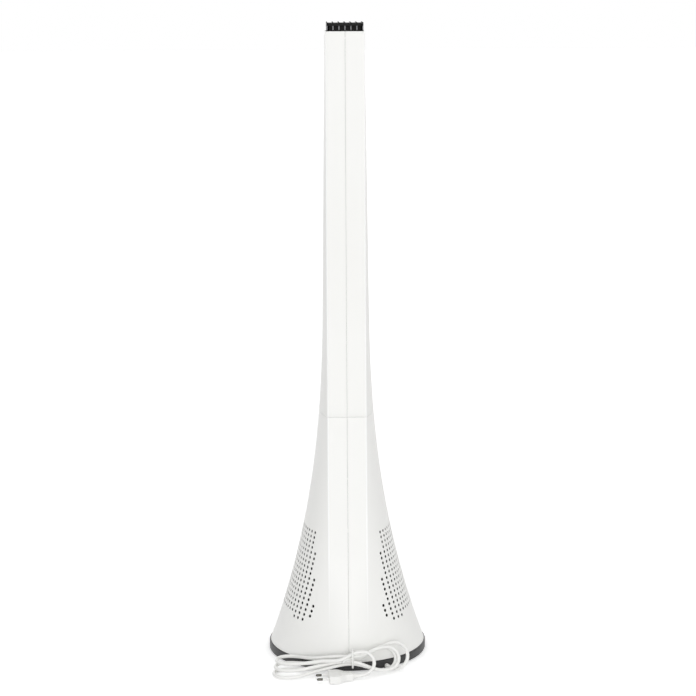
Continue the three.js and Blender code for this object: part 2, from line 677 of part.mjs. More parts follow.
function columnShell(side) {
  const options = { fromX: SEAM_HALF_GAP, toY: columnFront };
  const rings = columnStations(WAIST_Z + GAP / 2, BODY_TOP).map((z) => wallRing(z, side, 0, WALL, options));
  return skin(rings);
}

// ---------------------------------------------------------------- air path

function inletFilter(side) {
  const inset = WALL + 0.8;
  const options = { spread: 0.8, flankSteps: 8 };
  const rings = heights(FILTER_BOTTOM, PARTITION_Z - GAP, 4)
    .map((z) => wallRing(z, side, inset, inset + FILTER_THICK, options));
  return skin(rings);
}

const isolatorInner = CASING_RADIUS + CASING_WALL + GAP;
const isolatorOuter = isolatorInner + ISOLATOR_WALL;
const harnessHole = { x: 0, y: -(isolatorOuter + 12.7) };
const panelHarnessHole = { x: 30, y: isolatorOuter + 6.7 };
const HARNESS_DIAMETER = 4;

function partition() {
  const inset = WALL + GAP;
  const plate = skin([fullOutline(PARTITION_Z, inset), fullOutline(PARTITION_Z + PARTITION_THICK, inset + 0.6)]);
  const holeRadius = HARNESS_DIAMETER / 2 + 3;
  const [low, high] = [PARTITION_Z - 1, PARTITION_Z + PARTITION_THICK + 1];
  return cut(plate,
    drum(isolatorOuter + GAP, low, high, 24),
    drum(holeRadius, low, high, 8, harnessHole.x, harnessHole.y),
    drum(holeRadius, low, high, 8, panelHarnessHole.x, panelHarnessHole.y));
}

function fanCasing() {
  const outer = CASING_RADIUS + CASING_WALL;
  const mouth = CASING_RADIUS + BELL_FLARE;
  return spun([[CASING_RADIUS, CASING_BOTTOM + 6], [CASING_RADIUS + 2.5, CASING_BOTTOM + 1.5],
    [mouth, CASING_BOTTOM - 1], [mouth, CASING_BOTTOM + 1], [outer + 2, CASING_BOTTOM + 4],
    [outer, CASING_BOTTOM + 8], [outer, CASING_TOP], [CASING_RADIUS, CASING_TOP]], 24);
}

function isolatingRing() {
  return ring(isolatorInner, isolatorOuter, PARTITION_Z - 4, PARTITION_Z + PARTITION_THICK + 4, 24);
}

// A twisted blade between two radii: each station is a thin strip set at the blade angle and wrapped on its cylinder.
function blade(r0, r1, z0, z1, angle0, angle1, thick, stations = 2) {
  const rings = heights(0, 1, stations).map((t) => {
    const r = r0 + (r1 - r0) * t;
    const lean = rad(angle0 + (angle1 - angle0) * t);
    const half = (z1 - z0) / 2;
    const middle = (z0 + z1) / 2;
    const across = half * Math.tan(lean);
    const w = thick / 2 / Math.cos(lean);
    return [[across - w, -half], [across + w, -half], [-across + w, half], [-across - w, half]]
      .map(([y, z]) => new THREE.Vector3(r * Math.cos(y / r), r * Math.sin(y / r), middle + z));
  });
  return skin(rings, ['y', 'z']);
}

const impellerRadius = CASING_RADIUS - TIP_CLEARANCE;

function impeller() {
  const hub = spun([[0, IMPELLER_BOTTOM], [6, IMPELLER_BOTTOM + 2], [IMPELLER_HUB - 6, IMPELLER_BOTTOM + 12],
    [IMPELLER_HUB, IMPELLER_TOP - 8], [IMPELLER_HUB, IMPELLER_TOP], [0, IMPELLER_TOP]], 18);
  const blades = around(IMPELLER_BLADES, 1, 0).map(([x, y]) => (
    blade(12, impellerRadius - 1.2, IMPELLER_BOTTOM + 12, IMPELLER_TOP - 2, 25, 48, 1.8).rotateZ(Math.atan2(y, x))
  ));
  const bore = drum(SHAFT_RADIUS + GAP, IMPELLER_TOP - 22, IMPELLER_TOP + 1, 12);
  return cut(joined(hub, ...blades), bore);
}

const cupOuter = MOTOR_RADIUS + GAP + CUP_WALL;
const diffuserOuter = CASING_RADIUS - GAP;

function diffuser() {
  const top = CASING_TOP - 2;
  const shroud = ring(diffuserOuter - 2, diffuserOuter, DIFFUSER_BOTTOM, top, 24);
  const cup = spun([[SHAFT_RADIUS + 1.5, DIFFUSER_BOTTOM], [cupOuter - 4, DIFFUSER_BOTTOM],
    [cupOuter, DIFFUSER_BOTTOM + 5], [cupOuter, top], [cupOuter - CUP_WALL, top],
    [cupOuter - CUP_WALL, DIFFUSER_BOTTOM + 5], [cupOuter - CUP_WALL - 3, DIFFUSER_BOTTOM + 2],
    [SHAFT_RADIUS + 1.5, DIFFUSER_BOTTOM + 2]], 16);
  const vanes = around(DIFFUSER_VANES, 1, 12).map(([x, y]) => (
    blade(cupOuter - 0.7, diffuserOuter - 1, DIFFUSER_BOTTOM + 6, top - 4, -26, -20, 1.8, 1).rotateZ(Math.atan2(y, x))
  ));
  return joined(shroud, cup, ...vanes);
}

const motorBottom = DIFFUSER_BOTTOM + 2 + GAP;

const motorTop = motorBottom + MOTOR_HEIGHT;

function fanMotor() {
  const top = motorTop;
  return spun([[0, IMPELLER_TOP - 20], [SHAFT_RADIUS, IMPELLER_TOP - 20], [SHAFT_RADIUS, motorBottom],
    [MOTOR_RADIUS - 4, motorBottom], [MOTOR_RADIUS, motorBottom + 4], [MOTOR_RADIUS, top - 3],
    [MOTOR_RADIUS - 3, top], [7, top], [7, top + 4], [0, top + 4]], 16);
}

// The liner keeps the air off the shell joints on its way up the column. It is open towards the outlet.
function ductLiner() {
  const options = { flankSteps: 5, toY: (z) => halfDepth(z) - FRONT_LIP - 13 };
  const rings = columnStations(LINER_BOTTOM, BODY_TOP - CAP_TONGUE - 3).map((z) => {
    const outer = halfOutline(z, { ...options, inset: LINER_INSET });
    const inner = halfOutline(z, { ...options, inset: LINER_INSET + LINER_WALL });
    const right = [...outer, ...inner.slice(1).reverse(), inner[0]];
    return [...right.slice(0, -1), right.at(-1), ...mirrored(right).slice(1, -1)];
  });
  return skin(rings);
}

// ---------------------------------------------------------------- outlet grille and cap

const grilleStations = columnStations(GRILLE_BOTTOM, GRILLE_TOP);

// A bar that follows the front line of the body, between two depths behind the front face.
function frontBar(x0, x1, from, to) {
  const front = grilleStations.map((z) => [halfDepth(z) - to, z]);
  const back = grilleStations.map((z) => [halfDepth(z) - from, z]).reverse();
  return slab([...front, ...back], x0, x1);
}

function grilleRail(z0, z1, halfWidthOfRail, from, to) {
  return box(-halfWidthOfRail, halfWidthOfRail, halfDepth(z0) - from, halfDepth(z0) - to, z0, z1);
}

// A stile fills the corner between the front face and the column shell, with a tongue inside the shell.
function grilleStile(side) {
  const rings = grilleStations.map((z) => {
    const s = sectionAt(z);
    const lipY = columnFront(z) + GAP;
    const lipX = s.a * Math.sqrt(1 - (lipY / s.b) ** 2);
    const t = sectionAt(z, WALL + 0.6);
    const tongueX = (y) => t.a * Math.sqrt(Math.max(0, 1 - (y / t.b) ** 2));
    const tongueEnd = s.depth - FRONT_LIP - 9;
    const right = [
      [BAR_PITCH * 3 - 2, tongueEnd], [tongueX(tongueEnd), tongueEnd], [tongueX(lipY), lipY],
      [lipX, lipY], [s.crease, s.depth], [BAR_PITCH * 3 - 2, s.depth],
    ].map(([x, y]) => new THREE.Vector3(x, y, z));
    return side > 0 ? right : mirrored(right);
  });
  return skin(rings);
}

function outletGrille() {
  const inner = (BAR_COUNT - 1) / 2 - 1;
  const bars = [];
  for (let i = -inner; i <= inner; i += 1) {
    bars.push(frontBar(i * BAR_PITCH - BAR_WIDTH / 2, i * BAR_PITCH + BAR_WIDTH / 2, BAR_DEPTH, 0.4));
  }
  const reach = BAR_PITCH * 3 - 1;
  const rails = RAIL_HEIGHTS.map((z) => grilleRail(z, z + RAIL_HEIGHT, reach, BAR_DEPTH + 0.8, BAR_DEPTH - 3));
  const foot = grilleRail(GRILLE_BOTTOM, GRILLE_BOTTOM + 5, reach, BAR_DEPTH + 1, 1.2);
  const head = grilleRail(GRILLE_TOP - 5, GRILLE_TOP, reach, BAR_DEPTH - 2, 1);
  return joined(grilleStile(1), grilleStile(-1), ...bars, ...rails, foot, head);
}

// Guide vanes turn the rising air towards the outlet. They hang between two side rails behind the grille.
function guideVanes() {
  const reach = BAR_PITCH * 3 - 2 - GAP - 1.6;
  const lastZ = GUIDE_VANE_FIRST + (GUIDE_VANES - 1) * GUIDE_VANE_PITCH;
  const stations = heights(GUIDE_VANE_FIRST - 20, lastZ + 20, 5);
  const frontY = (z) => halfDepth(z) - BAR_DEPTH - 1.4;
  const outline = [...stations.map((z) => [frontY(z), z]), ...stations.map((z) => [frontY(z) - 12, z]).reverse()];
  const rails = [-1, 1].map((side) => (side > 0 ? slab(outline, reach, reach + 1.6) : slab(outline, -reach - 1.6, -reach)));
  const vanes = [];
  for (let i = 0; i < GUIDE_VANES; i += 1) {
    const z = GUIDE_VANE_FIRST + i * GUIDE_VANE_PITCH;
    const radius = 26;
    const arc = heights(12, 84, 3).map((degrees) => rad(degrees));
    const outer = arc.map((t) => [frontY(z) - 1 - radius * (1 - Math.sin(t)), z - radius * Math.cos(t)]);
    const inner = arc.map((t) => [frontY(z) - 1 - radius + (radius - 1.4) * Math.sin(t), z - (radius - 1.4) * Math.cos(t)]);
    vanes.push(slab([...outer, ...inner.reverse()], -reach - 0.5, reach + 0.5));
  }
  return joined(...rails, ...vanes);
}

const CAP_TOP = BODY_TOP + CAP_HEIGHT;
const CAP_DECK = CAP_TOP - CAP_RIB_HEIGHT;

function topCap() {
  const capRing = (z, a, depth) => {
    const points = [];
    const crease = a - 3;
    for (const [x, y] of [[crease, -depth], [a - 0.6, -depth + 3.4], [a, -depth * 0.4], [a, depth * 0.4],
      [a - 0.6, depth - 3.4], [crease, depth]]) points.push(new THREE.Vector3(x, y, z));
    return [...points, ...mirrored(points)];
  };
  const depth = TOP_HALF_DEPTH;
  const seat = BODY_TOP + GAP;
  const lip = CAP_DECK - CAP_LIP_HEIGHT;
  const lipDepth = depth + CAP_RIB_PROUD - 0.7;
  const body = skin([capRing(seat, CAP_HALF_WIDTH - 1.1, depth - 1.2), capRing(lip, CAP_HALF_WIDTH - 0.8, depth - 0.6),
    capRing(lip + 0.8, CAP_HALF_WIDTH - 0.1, lipDepth), capRing(CAP_DECK, CAP_HALF_WIDTH, lipDepth)]);
  const tongueHalf = TOP_HALF_WIDTH - WALL - GAP - 2.2;
  const tongue = skin([capRing(seat - CAP_TONGUE, tongueHalf, depth - WALL - 1),
    capRing(seat + 1, tongueHalf, depth - WALL - 1)]);
  const clearOfGrille = box(-CAP_HALF_WIDTH - 2, CAP_HALF_WIDTH + 2, depth - FRONT_LIP - 10.5, depth + 5, seat - 20, seat - 0.01);
  const edge = depth + CAP_RIB_PROUD;
  const ribOutline = [[-edge + 0.6, seat + 0.4], [-edge, CAP_TOP - 3], [-edge + 1.2, CAP_TOP - 0.8], [-edge + 4, CAP_TOP],
    [edge - 4, CAP_TOP], [edge - 1.2, CAP_TOP - 0.8], [edge, CAP_TOP - 3], [edge - 0.6, seat + 0.4]];
  const ribs = [];
  for (let i = 0; i < BAR_COUNT; i += 1) {
    const x = (i - (BAR_COUNT - 1) / 2) * BAR_PITCH;
    ribs.push(slab(ribOutline, x - CAP_RIB_WIDTH / 2, x + CAP_RIB_WIDTH / 2));
  }
  return joined(body, cut(tongue, clearOfGrille), ...ribs);
}

// ---------------------------------------------------------------- control panel

const PANEL_LENGTH = PANEL_TOP - PANEL_BOTTOM;
const panelTilt = Math.atan2(halfDepth(PANEL_BOTTOM) - halfDepth(PANEL_TOP), PANEL_LENGTH);
const panelMiddle = new THREE.Vector3(
  0,
  (halfDepth(PANEL_BOTTOM) + halfDepth(PANEL_TOP)) / 2 + PANEL_PROUD,
  (PANEL_BOTTOM + PANEL_TOP) / 2,
);

// The panel's own frame: x to the right, y up the panel and z out of its face.
function panelGroup(...meshes) {
  const group = new THREE.Group();
  group.position.copy(panelMiddle);
  const out = new THREE.Vector3(0, Math.cos(panelTilt), Math.sin(panelTilt));
  const up = new THREE.Vector3(0, -Math.sin(panelTilt), Math.cos(panelTilt));
  const right = up.clone().cross(out);
  group.quaternion.setFromRotationMatrix(new THREE.Matrix4().makeBasis(right, up, out));
  group.add(...meshes);
  return group;
}

function roundedRectangle(width, height, radius, x = 0, y = 0, corner = 3) {
  const points = [];
  const corners = [[1, 1, 0], [-1, 1, 90], [-1, -1, 180], [1, -1, 270]];
  for (const [sx, sy, from] of corners) {
    for (let i = 0; i <= corner; i += 1) {
      const angle = rad(from + (90 * i) / corner);
      points.push(new THREE.Vector2(
        x + sx * (width / 2 - radius) + radius * Math.cos(angle),
        y + sy * (height / 2 - radius) + radius * Math.sin(angle),
      ));
    }
  }
  return points;
}

function roundedPlate(width, height, radius, z0, z1) {
  return extruded(roundedRectangle(width, height, radius), z0, z1);
}

const buttonNames = [
  ['power_button', -1, 0], ['swing_button', 1, 0],
  ['speed_up_button', -1, 1], ['timer_button', 1, 1],
  ['speed_down_button', -1, 2], ['mode_button', 1, 2],
];
const buttonPlace = (column, row) => [column * BUTTON_COLUMN, BUTTON_ROWS[row]];
const boardFront = -BOARD_BEHIND;
const standoffPlaces = [[-16, 22], [16, 22], [-16, -46], [16, -46]];

function controlPanel() {
  const windowHole = new THREE.Path(roundedRectangle(WINDOW_WIDTH + 2 * GAP, WINDOW_HEIGHT + 2 * GAP, 2.3, 0, WINDOW_Y));
  const buttonHoles = buttonNames.map(([, column, row]) => {
    const [x, y] = buttonPlace(column, row);
    return new THREE.Path(Array.from({ length: 14 }, (_, i) => {
      const angle = (-2 * Math.PI * i) / 14;
      return new THREE.Vector2(x + (BUTTON_RADIUS + GAP) * Math.cos(angle), y + (BUTTON_RADIUS + GAP) * Math.sin(angle));
    }));
  });
  const plate = extruded(roundedRectangle(PANEL_WIDTH, PANEL_LENGTH, 6), -PANEL_THICK, 0, [windowHole, ...buttonHoles]);
  const standoffs = standoffPlaces.map(([x, y]) => drum(2.6, boardFront + GAP, -PANEL_THICK + 0.5, 8, x, y));
  return joined(plate, ...standoffs);
}

function button() {
  const top = BUTTON_PROUD;
  const bottom = top - BUTTON_THICK;
  const stemEnd = boardFront + SWITCH_HEIGHT + BUTTON_TRAVEL + GAP;
  return spun([[0, stemEnd], [1.6, stemEnd], [1.6, bottom], [BUTTON_RADIUS, bottom], [BUTTON_RADIUS, top],
    [0, top]], 14);
}

function controlBoard() {
  const back = boardFront - BOARD_THICK;
  const sink = boardFront - 0.4;
  const switches = buttonNames.map(([, column, row]) => {
    const [x, y] = buttonPlace(column, row);
    return box(x - 3, x + 3, y - 3, y + 3, sink, boardFront + SWITCH_HEIGHT);
  });
  const display = box(-14, 14, WINDOW_Y - 7, WINDOW_Y + 7, sink, boardFront + 7);
  const receiver = box(-3, 3, -50, -44, sink, boardFront + 3);
  const plug = box(-2, 12, -52, -46, back - 5, back + 0.4);
  return joined(roundedPlate(PANEL_WIDTH - 6, PANEL_LENGTH - 6, 3, back, boardFront), ...switches, display, receiver, plug);
}

function controls() {
  const buttons = buttonNames.map(([name, column, row]) => {
    const [x, y] = buttonPlace(column, row);
    const mesh = named(name, button(), BLACK_ABS);
    mesh.position.set(x, y, 0);
    return mesh;
  });
  const pane = extruded(roundedRectangle(WINDOW_WIDTH, WINDOW_HEIGHT, 2, 0, WINDOW_Y), -2.4, 0);
  return panelGroup(
    named('control_panel', controlPanel(), BLACK_ABS),
    named('display_window', pane, SMOKED),
    named('control_board', controlBoard(), BOARD_GREEN),
    ...buttons,
  );
}

// ---------------------------------------------------------------- inner cables

function motorHarness() {
  const { x, y } = harnessHole;
  return cordTube([[-20, -46, POWER_BOARD_Z + 12], [-20, -47, 56], [-14, -60, 84], [-4, -68, 120], [x, y, 160], [x, y, 215],
    [x, y + 4, 250], [x, y + 16, 274], [x, -30, 284], [x, -14, 276], [x, -11, 264], [x, -11, motorTop + GAP]], HARNESS_DIAMETER, 6, 24);
}

function panelHarness() {
  const { x, y } = panelHarnessHole;
  const onPanel = new THREE.Object3D();
  panelGroup(onPanel).updateMatrixWorld(true);
  // The last points, in the panel's own frame, run up to the plug on the back of the control board.
  const end = [[-16, -75.405561, -17.49025], [-7, -59.406, -16.483248], [-5, -53.390546, -16.229642]]
    .map((point) => new THREE.Vector3(...point).applyMatrix4(onPanel.matrixWorld).toArray());
  return cordTube([[20, -47, POWER_BOARD_Z + 13], [21, -46, 56], [40, -38, 78], [62, -14, 110], [64, 18, 150],
    [50, 46, 190], [x, y, 216], ...end], HARNESS_DIAMETER, 6, 24);
}

// ---------------------------------------------------------------- mains lead

// Stations along the hank, from its left end on the floor to its right end, which leans on the body: the middle
// of the undermost loop, the angle at which the loops lean back, their half width and how far apart they fan.
const HANK_SPINE = [
  { x: -114, y: -129, z: 3.2, lean: 0, half: 21.5, fan: 12, skew: 0 },
  { x: -86, y: -130, z: 3.2, lean: 0, half: 21.5, fan: 11.5, skew: 0 },
  { x: -50, y: -139, z: 9.5, lean: 10, half: 8.5, fan: 3.4, skew: 0 },
  { x: WAIST_X, y: -139.5, z: 20, lean: 40, half: WAIST_HALF_STEP, fan: 0, skew: 0 },
  { x: 34, y: -133.5, z: 20, lean: 58, half: 10.6, fan: -0.8, skew: 0.1 },
  { x: 54, y: -124.5, z: 20, lean: 66, half: 17.6, fan: -0.8, skew: 0.2 },
  { x: 86, y: -110, z: 20, lean: 66, half: 17.6, fan: -0.8, skew: 0.2 },
];

// The slope of one key at a station: level where the values turn or stand still.
function spineSlope(station, key) {
  const secant = (i) => (
    (HANK_SPINE[i + 1][key] - HANK_SPINE[i][key]) / (HANK_SPINE[i + 1].x - HANK_SPINE[i].x)
  );
  if (station === 0) return secant(0);
  if (station === HANK_SPINE.length - 1) return secant(station - 1);
  const [before, after] = [secant(station - 1), secant(station)];
  return before * after > 0 ? (2 * before * after) / (before + after) : 0;
}

// A smooth curve through the stations' values of one key, at x.
function spineAt(x, key) {
  const found = HANK_SPINE.findIndex((s) => s.x >= x);
  const at = found < 0 ? HANK_SPINE.length - 1 : Math.max(found, 1);
  const [a, b] = [HANK_SPINE[at - 1], HANK_SPINE[at]];
  const span = b.x - a.x;
  const t = THREE.MathUtils.clamp((x - a.x) / span, 0, 1);
  return a[key] * (2 * t ** 3 - 3 * t ** 2 + 1) + span * spineSlope(at - 1, key) * (t ** 3 - 2 * t ** 2 + t)
    + b[key] * (3 * t ** 2 - 2 * t ** 3) + span * spineSlope(at, key) * (t ** 3 - t ** 2);
}

// Where the wound cord is after a number of loops, in the plane of the loops: along the hank and across it. Each
// loop runs left along the top, round the left end, right along the bottom and round the right end.
function loopPlace(loops) {
  const share = loops % 1;
  const leftRadius = spineAt(HANK_LEFT_END, 'half');
  const rightRadius = spineAt(HANK_RIGHT_END, 'half');
  const left = HANK_LEFT_END + leftRadius + 0.3 * LOOP_GROWTH * loops;
  const right = HANK_RIGHT_END - rightRadius - LOOP_GROWTH * (HANK_LOOPS - loops);
  const endShare = 0.5 - RUN_SHARE;
  if (share < RUN_SHARE) {
    const x = right + ((left - right) * share) / RUN_SHARE;
    return [x, spineAt(x, 'half')];
  }
  if (share < 0.5) {
    const angle = (Math.PI * (share - RUN_SHARE)) / endShare;
    return [left - leftRadius * Math.sin(angle), leftRadius * Math.cos(angle)];
  }
  if (share < 0.5 + RUN_SHARE) {
    const x = left + ((right - left) * (share - 0.5)) / RUN_SHARE;
    return [x, -spineAt(x, 'half')];
  }
  const angle = (Math.PI * (share - 0.5 - RUN_SHARE)) / endShare;
  return [right + rightRadius * Math.sin(angle), -rightRadius * Math.cos(angle)];
}

// The point after a number of loops. The loops lie on each other, one pitch apart, and fan out to the left.
function hankPoint(loops) {
  const [x, place] = loopPlace(loops);
  const lean = rad(spineAt(x, 'lean'));
  const across = place + (loops - FAN_MIDDLE) * spineAt(x, 'fan');
  const up = (loops - RUN_SHARE) * HANK_PITCH;
  return new THREE.Vector3(
    x - spineAt(x, 'skew') * place,
    spineAt(x, 'y') + across * Math.cos(lean) - up * Math.sin(lean),
    spineAt(x, 'z') + across * Math.sin(lean) + up * Math.cos(lean),
  );
}

const hankPath = heights(0, HANK_LOOPS, Math.round(HANK_LOOPS * HANK_STEPS_PER_LOOP)).map(hankPoint);

// The least gap between two turns of the hank, measured on points of its path a short way apart along it.
function hankSelfGap() {
  const fine = heights(0, HANK_LOOPS, 900).map(hankPoint);
  const apart = 6 * CORD_DIAMETER;
  let gap = Infinity;
  const along = [0];
  for (let i = 1; i < fine.length; i += 1) along.push(along[i - 1] + fine[i].distanceTo(fine[i - 1]));
  for (let i = 0; i < fine.length; i += 1) {
    for (let j = i + 1; j < fine.length; j += 1) {
      if (along[j] - along[i] > apart) gap = Math.min(gap, fine[i].distanceTo(fine[j]) - CORD_DIAMETER);
    }
  }
  return gap;
}

console.log(`cord hank: least gap between turns ${hankSelfGap().toFixed(2)} mm`);

const GROMMET_END = BASE_RADIUS + 1;
const tangentStart = hankPath[1].clone().sub(hankPath[0]).normalize();
const tangentEnd = hankPath.at(-1).clone().sub(hankPath.at(-2)).normalize();
const besideStart = (distance) => hankPath[0].clone().addScaledVector(tangentStart, -distance).toArray();
const besideEnd = (distance) => hankPath.at(-1).clone().addScaledVector(tangentEnd, distance).toArray();

// From the grommet out over the floor, up beside the right end of the loops and into the first of them.
const leadPoints = [
  ...[GROMMET_END + GAP, GROMMET_END + GAP + CORD_DIAMETER].map((r) => (
    new THREE.Vector3(exitDirection.x * r, exitDirection.y * r, CORD_EXIT_Z)
      .applyAxisAngle(new THREE.Vector3(0, 0, 1), -rad(LEAD_TURN)).toArray())),
  [73.7, -123.3, 3.7], [82.9, -127.8, 5.9], [91.4, -128.8, 12.7], [96.2, -125.6, 23.1], [94.2, -118.1, 34.7],
  [84.4, -110.5, 42], [70.6, -107.6, 42.6],
  besideStart(GAP + CORD_DIAMETER), besideStart(GAP),
];

// The plug's frame: x from the pins to the cord, y across and z up.
const plugPoint = (x, y = 0, z = PLUG_THICK / 2 + 0.1) => (
  new THREE.Vector3(x, y, z).applyAxisAngle(new THREE.Vector3(0, 0, 1), rad(PLUG_YAW))
    .add(new THREE.Vector3(PLUG_PLACE[0], PLUG_PLACE[1], 0)).toArray()
);
const reliefStart = PLUG_LENGTH / 2 + GAP;
const reliefEnd = reliefStart + RELIEF_LENGTH;

// From the hank through the tie, then back in a half turn to the plug.
const plugLeadPoints = [
  besideEnd(GAP), besideEnd(GAP + CORD_DIAMETER),
  [-15.2, -153.2, 27.7], [-3.4, -152.5, 30.5], [WAIST_X, -149, 37.5], [28.9, -148.2, 41.6],
  [41, -151.1, 35], [44.4, -155.3, 23.2], [38.1, -159, 12.1],
  plugPoint(reliefEnd + GAP + CORD_DIAMETER), plugPoint(reliefEnd + GAP),
];

// The tie goes once round the strands at the waist, in the plane across the hank.
const tieOutline = [
  [-136.2, 15.4], [-144.5, 13.7], [-150.6, 17.5], [-153.6, 24], [-154.3, 31], [-154.3, 38], [-151.2, 42.9], [-146.2, 42.6],
  [-141.2, 37.8], [-137, 32.3], [-132.2, 27.4], [-130.6, 21], [-132, 16.6],
];

function hankTie() {
  const loop = tieOutline.map(([y, z]) => new THREE.Vector3(WAIST_X, y, z));
  const curve = new THREE.CatmullRomCurve3(loop, true);
  return sweep(curve.getSpacedPoints(26).slice(0, -1), TIE_DIAMETER / 2, 6, true);
}

function plugBody() {
  const [half, wide] = [PLUG_LENGTH / 2, PLUG_WIDTH / 2];
  const outline = [[-half, 1 - wide], [1 - half, -wide], [half - 24, -wide], [half - 9, 1.5 - wide / 2], [half, 1 - wide / 2]];
  const points = [...outline, ...outline.map(([x, y]) => [x, -y]).reverse()].map(([x, y]) => new THREE.Vector2(x, y));
  const shape = new THREE.Shape(points);
  const options = { depth: PLUG_THICK - 2, bevelThickness: 1, bevelSize: 1, bevelOffset: -1, bevelSegments: 1 };
  return new THREE.ExtrudeGeometry(shape, options).translate(0, 0, 1 - PLUG_THICK / 2);
}

function strainRelief() {
  const r = RELIEF_DIAMETER / 2;
  const profile = [[0, 0], [r, 0], [r, 2], [r - 0.8, 2.6], [r - 0.4, 5.2], [r - 1.2, 5.8], [r - 1, RELIEF_LENGTH], [0, RELIEF_LENGTH]];
  return spun(profile, 12).rotateY(Math.PI / 2).translate(reliefStart, 0, 0);
}

function plugPin(side) {
  const r = PLUG_PIN_DIAMETER / 2;
  return spun([[0, 0], [r, 0], [r, PLUG_PIN_LENGTH - 1.2], [r - 1, PLUG_PIN_LENGTH], [0, PLUG_PIN_LENGTH]], 12)
    .rotateY(-Math.PI / 2).translate(-PLUG_LENGTH / 2 - GAP, (side * PLUG_PIN_SPACING) / 2, 0);
}

function mainsLead() {
  const plug = new THREE.Group();
  plug.position.set(...plugPoint(0));
  plug.rotation.z = rad(PLUG_YAW);
  plug.add(named('plug_body', plugBody(), CORD_PVC));
  plug.add(named('plug_strain_relief', strainRelief(), CORD_PVC));
  plug.add(named('plug_pin_1', plugPin(1), STEEL));
  plug.add(named('plug_pin_2', plugPin(-1), STEEL));
  const group = new THREE.Group();
  group.add(named('cord_lead', cordTube(leadPoints, CORD_DIAMETER, 8, 14), CORD_PVC));
  group.add(named('cord_hank', sweep(hankPath, CORD_DIAMETER / 2, HANK_SIDES), CORD_PVC));
  group.add(named('cord_plug_lead', cordTube(plugLeadPoints, CORD_DIAMETER, 8, 16), CORD_PVC));
  group.add(named('hank_tie', hankTie(), CORD_PVC));
  group.add(plug);
  group.rotation.z = rad(LEAD_TURN);
  return group;
}

// ---------------------------------------------------------------- body of the fan

function body() {
  const group = new THREE.Group();
  for (const [word, side] of [['left', -1], ['right', 1]]) {
    group.add(named(`lower_shell_${word}`, lowerShell(side), WHITE_ABS));
    group.add(named(`column_shell_${word}`, columnShell(side), WHITE_ABS));
    group.add(named(`inlet_filter_${word}`, inletFilter(side), FOAM));
  }
  group.add(named('partition', partition(), NATURAL_PLASTIC));
  group.add(named('fan_casing', fanCasing(), NATURAL_PLASTIC));
  group.add(named('isolating_ring', isolatingRing(), RUBBER));
  group.add(named('impeller', impeller(), NATURAL_PLASTIC));
  group.add(named('diffuser', diffuser(), NATURAL_PLASTIC));
  group.add(named('fan_motor', fanMotor(), STEEL));
  group.add(named('duct_liner', ductLiner(), NATURAL_PLASTIC));
  group.add(named('guide_vanes', guideVanes(), BLACK_ABS));
  group.add(named('outlet_grille', outletGrille(), BLACK_ABS));
  group.add(named('top_cap', topCap(), BLACK_ABS));
  group.add(named('motor_harness', motorHarness(), BLACK_ABS));
  group.add(named('panel_harness', panelHarness(), BLACK_ABS));
  return group;
}

const fan = new THREE.Group();
fan.add(base(), swivelOnBase(), swivelOnBody(), body(), controls(), mainsLead());

export default fan;
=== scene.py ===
import json
import math

import bmesh
import bpy
from mathutils import Matrix, Vector, kdtree

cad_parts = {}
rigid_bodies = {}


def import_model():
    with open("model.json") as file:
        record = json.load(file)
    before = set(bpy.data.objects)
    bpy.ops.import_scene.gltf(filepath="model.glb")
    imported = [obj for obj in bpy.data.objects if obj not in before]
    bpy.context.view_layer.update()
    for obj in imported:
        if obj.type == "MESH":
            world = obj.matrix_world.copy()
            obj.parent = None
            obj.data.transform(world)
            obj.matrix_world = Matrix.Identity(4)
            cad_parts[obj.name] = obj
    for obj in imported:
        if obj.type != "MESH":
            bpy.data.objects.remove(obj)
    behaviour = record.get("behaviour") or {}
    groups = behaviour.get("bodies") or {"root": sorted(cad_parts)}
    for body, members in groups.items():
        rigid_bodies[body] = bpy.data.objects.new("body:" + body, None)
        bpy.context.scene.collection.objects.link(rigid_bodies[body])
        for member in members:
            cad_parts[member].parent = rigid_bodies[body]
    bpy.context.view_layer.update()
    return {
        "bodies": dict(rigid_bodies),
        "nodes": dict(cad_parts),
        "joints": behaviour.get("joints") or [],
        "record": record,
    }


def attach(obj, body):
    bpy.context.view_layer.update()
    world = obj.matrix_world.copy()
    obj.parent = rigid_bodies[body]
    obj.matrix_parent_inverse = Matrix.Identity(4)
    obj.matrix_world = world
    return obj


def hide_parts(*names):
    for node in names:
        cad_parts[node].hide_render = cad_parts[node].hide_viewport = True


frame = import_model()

# ------------------------------------------------------------------ camera, floor and light
# The camera stands 3 m behind the fan, a hair to its left, and looks 10.5 degrees down from 1.05 m through a
# 101 mm lens. The floor is plain white. Soft daylight comes from all round, with broad lamps overhead, behind
# the camera and beyond the fan, the last for its far side only.

PHOTO_WIDTH = 696  # pixels, and as many high
SENSOR_WIDTH = 36  # mm
VIEW_END = 200  # how far the camera sees, in metres
FOCAL_PIXELS = 1949
CAMERA_DISTANCE = 3.029
CAMERA_HEIGHT = 1.053
CAMERA_DOWN = math.radians(10.5)
CAMERA_ROUND = math.radians(1.1)  # how far round to the left the camera stands
CAMERA_ROLL = math.radians(0.274)
AXIS_PIXELS = 2.1  # how far left of the middle the fan's axis is


def in_scene(name, data):
    """A new object with this name and data, linked into the scene."""
    made = bpy.data.objects.new(name, data)
    bpy.context.scene.collection.objects.link(made)
    return made


